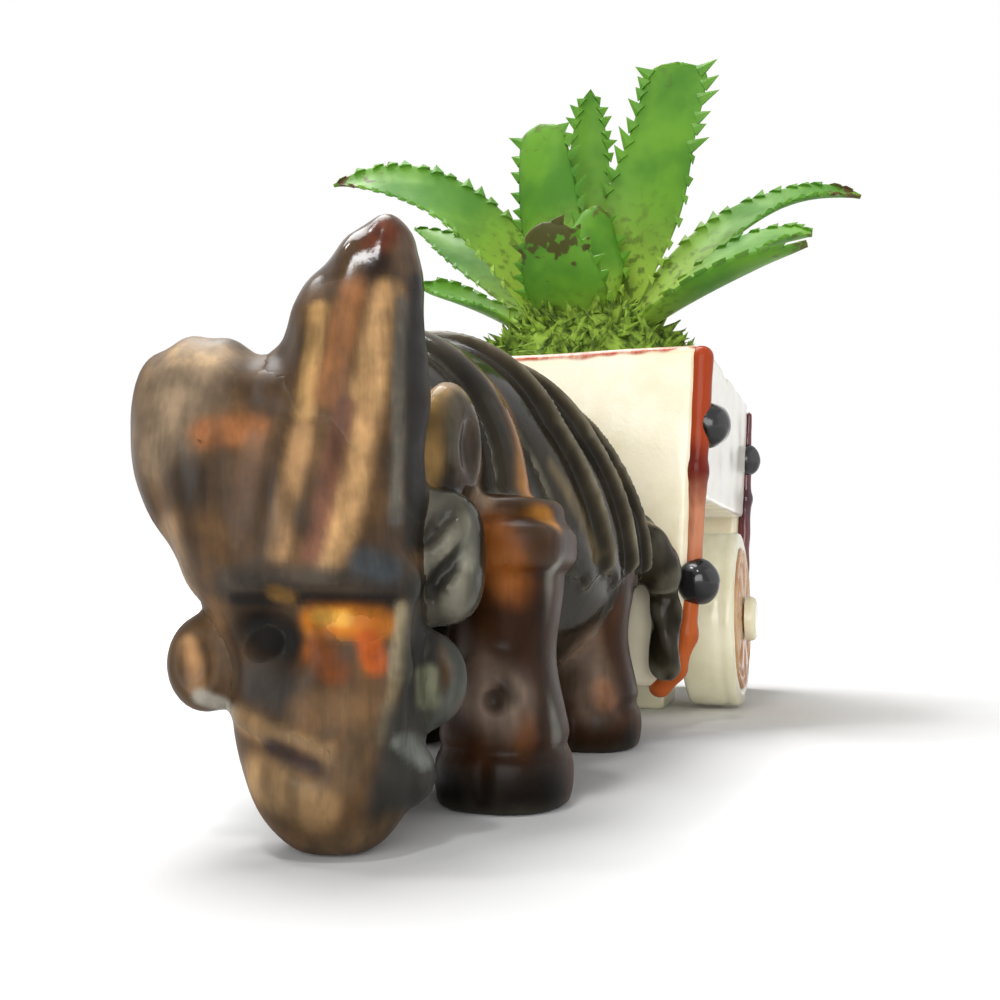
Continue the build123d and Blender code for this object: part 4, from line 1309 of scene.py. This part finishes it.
def grow(name: str, piece: bpy.types.Object, tree: bpy.types.NodeTree, values: dict) -> bpy.types.Object:
    """Run a tree of geometry nodes on a piece and keep the result as a plain mesh.

    Args:
        name: the finished mesh's name.
        piece: the object to grow from.
        tree: the node tree.
        values: its inputs by name.

    Returns:
        The same object with the new mesh.
    """
    modifier = piece.modifiers.new(name, "NODES")
    modifier.node_group = tree
    for item in tree.interface.items_tree:
        if item.item_type == "SOCKET" and item.in_out == "INPUT" and item.name in values:
            modifier[item.identifier] = values[item.name]
    graph = bpy.context.evaluated_depsgraph_get()
    mesh = bpy.data.meshes.new_from_object(piece.evaluated_get(graph))
    piece.modifiers.remove(modifier)
    piece.data = mesh
    mesh.name = name
    return piece


def geometry_tree(name: str, inputs: dict) -> tuple[NodeSheet, object, object]:
    """Start a geometry tree with its named inputs.

    Returns:
        The sheet, the group's input sockets and the node that takes the result.
    """
    tree = bpy.data.node_groups.new(name, "GeometryNodeTree")
    group_sockets(tree, {"Geometry": ("NodeSocketGeometry", None), **inputs}, {"Geometry": "NodeSocketGeometry"})
    sheet = NodeSheet(tree)
    return sheet, sheet.add("NodeGroupInput").outputs, sheet.add("NodeGroupOutput")


def teeth_tree() -> bpy.types.NodeTree:
    """Teeth along both edges of a leaf, each aimed and sized by the point that it grows from."""
    number = "NodeSocketFloat"
    sheet, values, result = geometry_tree(
        "LeafTeeth",
        {"Tooth Width": (number, 0.0022), "Tooth Thickness": (number, 0.0011), "Skin": ("NodeSocketMaterial", None)},
    )

    def named(name: str, kind: str) -> bpy.types.NodeSocket:
        """A stored value of the leaf's points."""
        return sheet.add("GeometryNodeInputNamedAttribute", {"data_type": kind}, Name=name).outputs[0]

    reach = named("tooth_reach", "FLOAT")
    wanted = sheet.add("FunctionNodeCompare", {"data_type": "FLOAT", "operation": "GREATER_THAN"}, i0=reach, i1=0.0)
    roots = sheet.add("GeometryNodeMeshToPoints", Mesh=values["Geometry"], Selection=wanted.outputs[0])
    cone = sheet.add("GeometryNodeMeshCone", Vertices=5, Radius_Top=0.0, Radius_Bottom=0.5, Depth=1.0)
    tooth = sheet.add("GeometryNodeTransform", Geometry=cone.outputs[0], Translation=(0.0, 0.0, -0.22))
    aimed = sheet.add("FunctionNodeAlignRotationToVector", {"axis": "Z"}, Vector=named("tooth_aim", "FLOAT_VECTOR"))
    flat = sheet.add(
        "FunctionNodeAlignRotationToVector",
        {"axis": "Y", "pivot_axis": "Z"},
        Rotation=aimed.outputs[0],
        Vector=named("leaf_face", "FLOAT_VECTOR"),
    )
    size = sheet.add("ShaderNodeCombineXYZ", X=values["Tooth Width"], Y=values["Tooth Thickness"], Z=reach)
    grown = sheet.add(
        "GeometryNodeInstanceOnPoints",
        Points=roots.outputs[0],
        Instance=tooth.outputs[0],
        Rotation=flat.outputs[0],
        Scale=size.outputs[0],
    )
    real = sheet.add("GeometryNodeRealizeInstances", Geometry=grown.outputs[0])
    both = sheet.add("GeometryNodeJoinGeometry")
    sheet.set(both.inputs[0], values["Geometry"])
    sheet.set(both.inputs[0], real.outputs[0])
    dressed = sheet.add("GeometryNodeSetMaterial", Geometry=both.outputs[0], Material=values["Skin"])
    sheet.set(result.inputs[0], dressed.outputs[0])
    return sheet.tree


def moss_tree() -> bpy.types.NodeTree:
    """Small curled tufts scattered over the moss mound."""
    number, whole = "NodeSocketFloat", "NodeSocketInt"
    sheet, values, result = geometry_tree(
        "MossTufts",
        {
            "Density": (number, 190000.0),
            "Least": (number, 0.5),
            "Most": (number, 1.2),
            "Seed": (whole, 4),
            "Skin": ("NodeSocketMaterial", None),
        },
    )
    spots = sheet.add(
        "GeometryNodeDistributePointsOnFaces", Mesh=values["Geometry"], Density=values["Density"], Seed=values["Seed"]
    )
    blade = sheet.add("GeometryNodeMeshCone", Vertices=4, Radius_Top=0.0, Radius_Bottom=0.0012, Depth=0.0052)
    lean = sheet.add("FunctionNodeRandomValue", {"data_type": "FLOAT_VECTOR"}, Seed=values["Seed"])
    lean.inputs[0].default_value, lean.inputs[1].default_value = (-0.9, -0.9, -3.0), (0.9, 0.9, 3.0)
    turned = sheet.add("FunctionNodeRotateRotation", {"rotation_space": "LOCAL"}, Rotation=spots.outputs["Rotation"])
    euler = sheet.add("FunctionNodeEulerToRotation", Euler=lean.outputs[0])
    sheet.set(turned.inputs[1], euler.outputs[0])
    size = sheet.add("FunctionNodeRandomValue", {"data_type": "FLOAT"}, Seed=values["Seed"])
    sheet.set(size.inputs[2], values["Least"])
    sheet.set(size.inputs[3], values["Most"])
    grown = sheet.add(
        "GeometryNodeInstanceOnPoints",
        Points=spots.outputs[0],
        Instance=blade.outputs[0],
        Rotation=turned.outputs[0],
        Scale=size.outputs[1],
    )
    real = sheet.add("GeometryNodeRealizeInstances", Geometry=grown.outputs[0])
    both = sheet.add("GeometryNodeJoinGeometry")
    sheet.set(both.inputs[0], values["Geometry"])
    sheet.set(both.inputs[0], real.outputs[0])
    dressed = sheet.add("GeometryNodeSetMaterial", Geometry=both.outputs[0], Material=values["Skin"])
    sheet.set(result.inputs[0], dressed.outputs[0])
    return sheet.tree


@dataclass
class Aloe:
    """The artificial aloe: toothed leaves on a core, moss and foam, lifting out as one."""

    middle_y: float = 58.0
    rim: float = 73.0
    spread: float = 62.0
    rise: float = 77.4
    core_radius: float = 8.0
    leaf_half_width: float = 10.4
    leaf_half_thickness: float = 1.7
    rings: int = 64
    ring_points: int = 16
    tooth_gap: float = 4.0
    tooth_reach: float = 3.4
    plug_top: float = 70.0
    moss_half: tuple = (26.0, 31.0)
    moss_rise: float = 22.0
    blade_shares: tuple = (
        (0.00, 0.58, 1.00),
        (0.16, 0.78, 1.00),
        (0.40, 1.00, 0.92),
        (0.70, 0.80, 0.80),
        (0.90, 0.40, 0.60),
        (1.00, 0.06, 0.30),
    )

    def leaf_line(self, plan: LeafPlan, t: Array) -> tuple[Array, Array, Array, Array]:
        """Line of one leaf with its directions.

        Args:
            plan: the leaf.
            t: shares of its length.

        Returns:
            Places, and the directions along the leaf, across it and out of its upper face.
        """
        turn = math.radians(plan.azimuth)
        outward = np.array([math.cos(turn), math.sin(turn), 0.0])
        sideways = np.array([-math.sin(turn), math.cos(turn), 0.0])
        root = np.array([0, self.middle_y, self.rim + plan.root * self.rise]) + outward * (self.core_radius - 1)
        scale, base = np.array([self.spread, self.spread, self.rise]), np.array([0, self.middle_y, self.rim])
        middle, tip = base + np.array(plan.middle) * scale, base + np.array(plan.tip) * scale
        bend = 2 * middle - 0.5 * (root + tip)
        t = np.asarray(t)[:, None]
        place = root * (1 - t) ** 2 + bend * 2 * t * (1 - t) + tip * t**2
        along = (bend - root) * (1 - t) + (tip - bend) * t
        along /= np.linalg.norm(along, axis=1, keepdims=True)
        across = sideways - along * (along @ sideways)[:, None]
        across /= np.linalg.norm(across, axis=1, keepdims=True)
        face = np.cross(along, across)
        face *= np.sign(np.sum(face * (np.array([0, 0, 1.0]) - outward), axis=1, keepdims=True))
        roll = math.radians(plan.roll)
        rolled = across * np.cos(roll) + face * np.sin(roll)
        return place, along, rolled, face * np.cos(roll) - across * np.sin(roll)

    def blade(self, plan: LeafPlan, number: int) -> bpy.types.Object:
        """One leaf: a hollow-faced blade with the points that its teeth grow from."""
        t = np.linspace(0, 1, self.rings)
        place, along, across, face = self.leaf_line(plan, t)
        knots, wide, thick = np.array(self.blade_shares).T
        wide = wide + plan.blunt * np.clip((knots - 0.55) / 0.4, 0, 1) * (1 - wide)
        rounding = np.sqrt(np.clip(1 - np.clip((t - 0.92) / 0.08, 0, 1) ** 2, 0.004, 1))
        half = self.leaf_half_width * plan.width * flow(t, knots, wide) * rounding
        depth = self.leaf_half_thickness * flow(t, knots, thick)
        turn = 2 * np.pi * np.arange(self.ring_points) / self.ring_points
        a, b = np.cos(turn), np.sin(turn)
        cup = 0.75 * (a * a - 0.5)
        lift = np.where(b > 0, 0.25 * b, 0.95 * b) + cup
        rng = np.random.default_rng(100 + number)
        wave = 0.35 * np.sin(t[:, None] * 9 + rng.uniform(0, 6)) * a
        points = (
            place[:, None]
            + across[:, None] * (half[:, None] * a)[..., None]
            + face[:, None] * (depth[:, None] * (lift + wave * np.abs(a)))[..., None]
        )
        n, m = self.rings, self.ring_points
        ring = np.arange(m)
        quads = [
            (i * m + j, i * m + (j + 1) % m, (i + 1) * m + (j + 1) % m, (i + 1) * m + j) for i in range(n - 1) for j in ring
        ]
        handed = np.sum(np.cross(across[0], face[0]) * along[0]) > 0
        caps = [tuple(ring[::-1]), tuple((n - 1) * m + ring)]
        faces = quads + caps
        if not handed:
            faces = [f[::-1] for f in faces]
        faces = [tuple(int(v) for v in f) for f in faces]
        flat_points = points.reshape(-1, 3)
        mesh = bpy.data.meshes.new(plan.name + "_blade")
        mesh.from_pydata((flat_points * MM).tolist(), [], faces)
        mesh.shade_smooth()
        reach, aim = np.zeros((n, m)), np.zeros((n, m, 3))
        length = np.sum(np.linalg.norm(np.diff(place, axis=0), axis=1))
        for edge, sign in ((0, 1.0), (m // 2, -1.0)):
            spot = 0.16 + 0.03 * rng.random()
            while spot < 0.97:
                i = int(round(spot * (n - 1)))
                taper = min(1.0, half[i] / 3.0) * (0.65 + 0.35 * (half[i] / half.max()))
                worn = 0.35 if across[i][2] * sign < -0.3 else 1.0
                reach[i, edge] = self.tooth_reach * MM * taper * worn * plan.bite * rng.uniform(0.65, 1.3)
                aim[i, edge] = across[i] * sign * 0.8 + along[i] * rng.uniform(0.35, 0.8)
                spot += self.tooth_gap / length * rng.uniform(0.75, 1.3)
        layers = {
            "along": ("FLOAT", np.repeat(t, m)),
            "across": ("FLOAT", np.tile(np.abs(a), n)),
            "browning": ("FLOAT", np.full(n * m, plan.browning)),
            "tooth_reach": ("FLOAT", reach.ravel()),
            "tooth_aim": ("FLOAT_VECTOR", aim.ravel()),
            "leaf_face": ("FLOAT_VECTOR", np.repeat(face, m, axis=0).ravel()),
        }
        for key, (kind, numbers) in layers.items():
            layer = mesh.attributes.new(key, kind, "POINT")
            layer.data.foreach_set("value" if kind == "FLOAT" else "vector", numbers.astype(np.float32))
        leaf = bpy.data.objects.new(plan.name + "_blade", mesh)
        bpy.context.scene.collection.objects.link(leaf)
        return leaf

    def mound_shape(self, x: Array, y: Array, z: Array) -> Array:
        """Low uneven mound of moss."""
        lump = ball_distance(x, y - self.middle_y, z - self.plug_top, (0, 0, -0.5), (*self.moss_half, self.moss_rise))
        lump = lump + 0.8 * ripple(x, y, z, 11, 21) + 0.4 * ripple(x, y, z, 5, 22) + 0.9
        return soft_cut(lump, self.plug_top - 0.1 - z, 1.0)

    def foam_shape(self, x: Array, y: Array, z: Array) -> Array:
        """Foam plug, cut to drop into the tub, with a torn top."""
        flare = 1.7 / 29
        side = np.abs(x) - (25.9 + flare * (z - 49))
        ends = np.abs(y - self.middle_y) - 33.5
        top = z - self.plug_top + 0.5 + 0.35 * ripple(x, y, z, 4, 31)
        return soft_cut(soft_cut(soft_cut(side, ends, 1.5), top, 1.2), 49.1 - z, 1.0)

    def core_shape(self, x: Array, y: Array, z: Array) -> Array:
        """Stem that the leaves are pushed into, ringed by their feet."""
        far = np.sqrt(x * x + (y - self.middle_y) ** 2)
        rings = 0.35 * np.sin(z * 1.5)
        stem = far - 7.4 - rings
        return soft_cut(soft_cut(stem, self.plug_top + 0.2 - z, 0.5), z - self.rim - 19.2, 4.0)

    def build(self, cart: Cart, finishes: dict) -> None:
        """Make the leaves, moss, core and foam."""
        plant = Body.PLANT
        teeth = teeth_tree()
        for number, plan in enumerate(LEAVES):
            leaf = self.blade(plan, number)
            values = {"Tooth Width": 0.0036, "Tooth Thickness": 0.0013, "Skin": finishes["leaf_green"]}
            settle(grow(plan.name + "_blade", leaf, teeth, values), plant, [plan.name])
        points, faces = cart.cut(self.mound_shape, (-29, 24, 66), (29, 92, 91), 0.8)
        mesh = bpy.data.meshes.new("moss_mound")
        mesh.from_pydata((points * MM).tolist(), [], faces.tolist())
        mesh.shade_smooth()
        mound = bpy.data.objects.new("moss_mound", mesh)
        bpy.context.scene.collection.objects.link(mound)
        settle(grow("moss_mound", mound, moss_tree(), {"Skin": finishes["moss"]}), plant, ["moss_mat"])
        for name, shape, room, node in (
            ("foam_block", self.foam_shape, ((-30, 22, 47), (30, 94, 72)), "foam_plug"),
            ("leaf_stem", self.core_shape, ((-10, 48, 68), (10, 68, 94)), "plant_core"),
        ):
            points, faces = cart.cut(shape, *room, 0.8)
            make_piece(name, points, faces.tolist(), finishes["plant_foam"], plant, [node])


# The studio


@dataclass
class Studio:
    """Pale floor, white surroundings, soft lamps and the camera."""

    camera_place: Triple = (0.06154, -0.20666, 0.02788)
    camera_tilt: float = 93.94
    camera_heading: float = 17.58
    lens: float = 41.8
    ambient: float = 0.13

    def lamp(self, name: str, place: Triple, target: Triple, size: float, power: float) -> None:
        """One square soft lamp."""
        data = bpy.data.lights.new(name, "AREA")
        data.energy, data.size = power, size
        lamp = bpy.data.objects.new(name, data)
        lamp.location = place
        way = np.array(target) - np.array(place)
        level = math.hypot(way[0], way[1])
        lamp.rotation_euler = Euler((math.atan2(level, -way[2]), 0, math.atan2(-way[0], way[1])))
        bpy.context.scene.collection.objects.link(lamp)

    def world(self) -> None:
        """White surroundings to the eye and in reflections, dimmer as light."""
        world = bpy.data.worlds.new("white_room")
        bpy.context.scene.world = world
        world.use_nodes = True
        sheet = NodeSheet(world.node_tree)
        background = world.node_tree.nodes["Background"]
        rays = sheet.add("ShaderNodeLightPath").outputs
        seen = sheet.math("MAXIMUM", rays["Is Camera Ray"], rays["Is Glossy Ray"])
        seen = sheet.math("MAXIMUM", seen, rays["Is Transmission Ray"])
        background.inputs["Color"].default_value = (1, 1, 1, 1)
        sheet.set(background.inputs["Strength"], sheet.ramp(seen, 0, 1, self.ambient, 1.0))

    def floor(self) -> None:
        """Wide pale floor that keeps the object's shadow."""
        mesh = bpy.data.meshes.new("studio_floor")
        half = 6.0
        corners = [(-half, -half, 0), (half, -half, 0), (half, half, 0), (-half, half, 0)]
        mesh.from_pydata(corners, [], [(0, 1, 2, 3)])
        floor = bpy.data.objects.new("studio_floor", mesh)
        bpy.context.scene.collection.objects.link(floor)
        material = bpy.data.materials.new("pale_floor")
        material.use_nodes = True
        sheet = NodeSheet(material.node_tree)
        surface = material.node_tree.nodes["Principled BSDF"]
        surface.inputs["Base Color"].default_value = (0.88, 0.88, 0.88, 1)
        surface.inputs["Roughness"].default_value = 0.9
        surface.inputs["Specular IOR Level"].default_value = 0.1
        rays = sheet.add("ShaderNodeLightPath").outputs
        seen = sheet.math("MAXIMUM", rays["Is Camera Ray"], rays["Is Glossy Ray"])
        seen = sheet.math("MAXIMUM", seen, rays["Is Transmission Ray"])
        place = sheet.add("ShaderNodeTexCoord").outputs["Object"]
        far = sheet.add("ShaderNodeVectorMath", {"operation": "LENGTH"}, i0=place).outputs["Value"]
        glow = sheet.ramp(far, 0.12, 0.5, 0.0, 0.95)
        sheet.set(surface.inputs["Emission Strength"], sheet.math("MULTIPLY", seen, glow))
        surface.inputs["Emission Color"].default_value = (1, 1, 1, 1)
        mesh.materials.append(material)

    def build(self) -> None:
        """Set the stage."""
        scene = bpy.context.scene
        scene.view_settings.view_transform = "Standard"
        data = bpy.data.cameras.new("photo_camera")
        data.lens, data.sensor_width = self.lens, 36.0
        data.clip_start = 0.01
        camera = bpy.data.objects.new("photo_camera", data)
        camera.location = self.camera_place
        camera.rotation_euler = Euler((math.radians(self.camera_tilt), 0, math.radians(self.camera_heading)))
        scene.collection.objects.link(camera)
        scene.camera = camera
        self.world()
        self.floor()
        self.lamp("front_fill", (0.14, -1.10, 0.09), (0, 0, 0.05), 0.9, 16.4)
        self.lamp("top_lamp", (-0.20, 0.12, 0.66), (0, 0, 0.03), 0.40, 5.3)
        self.lamp("side_lamp", (0.56, 0.02, 0.26), (0, 0.03, 0.05), 0.60, 0.8)
        self.lamp("spark_lamp", (-0.004, -0.336, 0.500), (0.0115, -0.0959, 0.062), 0.048, 0.45)
        self.lamp("band_spark", (-0.23, -0.13, 0.50), (0.01, -0.04, 0.06), 0.05, 0.35)


def finishes() -> dict:
    """Every finish, by name."""
    made = (
        ("ox_glaze", OxGlaze("ox_glaze", roughness=0.12, gloss=0.08)),
        ("horn_glaze", OxGlaze("horn_glaze", roughness=0.11, gloss=0.15, broad=160.0, run=420.0, fall=0.2, bump=0.05)),
        ("ochre_glaze", OxGlaze("ochre_glaze", roughness=0.14, gloss=0.16)),
        ("strap_glaze", OxGlaze("strap_glaze", roughness=0.18, gloss=0.14)),
        # Amber glaze of the left eye, brightened as if lit: painted light.
        ("amber_glaze", OxGlaze("amber_glaze", roughness=0.14, gloss=0.18, pool="#8a3c08")),
        ("cart_cream", CartGlaze("cart_cream", roughness=0.16)),
        # The tub glaze is whiter than the boards' cream: its own pale glaze, brightened as the side wall looks under
        # strong side light (painted light).
        ("tub_white_painted_lit", PlainGlaze("tub_white_painted_lit", roughness=0.16, main="#fbf8ef", thin="#f4efdf")),
        ("edge_red", PostGlaze("edge_red", roughness=0.2, gloss=0.09)),
        ("edge_maroon", PostGlaze("edge_maroon", red="#5e222c", deep="#3d1622", pale="#6b3238", orange="#a8552c")),
        ("stud_dark", PlainGlaze("stud_dark", roughness=0.15, main="#141314", thin="#2a2829")),
        ("wheel_cream", PlainGlaze("wheel_cream", roughness=0.18, main="#f0ebd0", thin="#dcd6b2")),
        ("rosette_orange", PlainGlaze("rosette_orange", roughness=0.25, main="#b0703c", thin="#cfae80")),
        ("bare_clay", PlainGlaze("bare_clay", roughness=0.7, gloss=0.2, main="#b98a66", thin="#a2734f")),
        ("plant_foam", PlainGlaze("plant_foam", roughness=0.9, gloss=0.1, main="#3b4726", thin="#56612f")),
        ("moss", PlainGlaze("moss", roughness=0.8, gloss=0.15, broad=420.0, main="#8dac40", thin="#32441a", share=1.0)),
        ("leaf_green", LeafSkin("leaf_green", roughness=0.5, gloss=0.18, broad=70.0, grain=420.0, bump=0.2)),
    )
    return {name: finish.material() for name, finish in made}


def main() -> None:
    """Build the ox, the cart, its running gear and the plant, then set the stage."""
    logging.basicConfig(level=logging.INFO, format="%(message)s")
    coats = finishes()
    cart = Cart()
    Ox().build(coats)
    cart.build(coats)
    RunningGear().build(cart, coats)
    Aloe().build(cart, coats)
    Studio().build()
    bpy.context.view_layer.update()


if __name__ == "__main__":
    main()
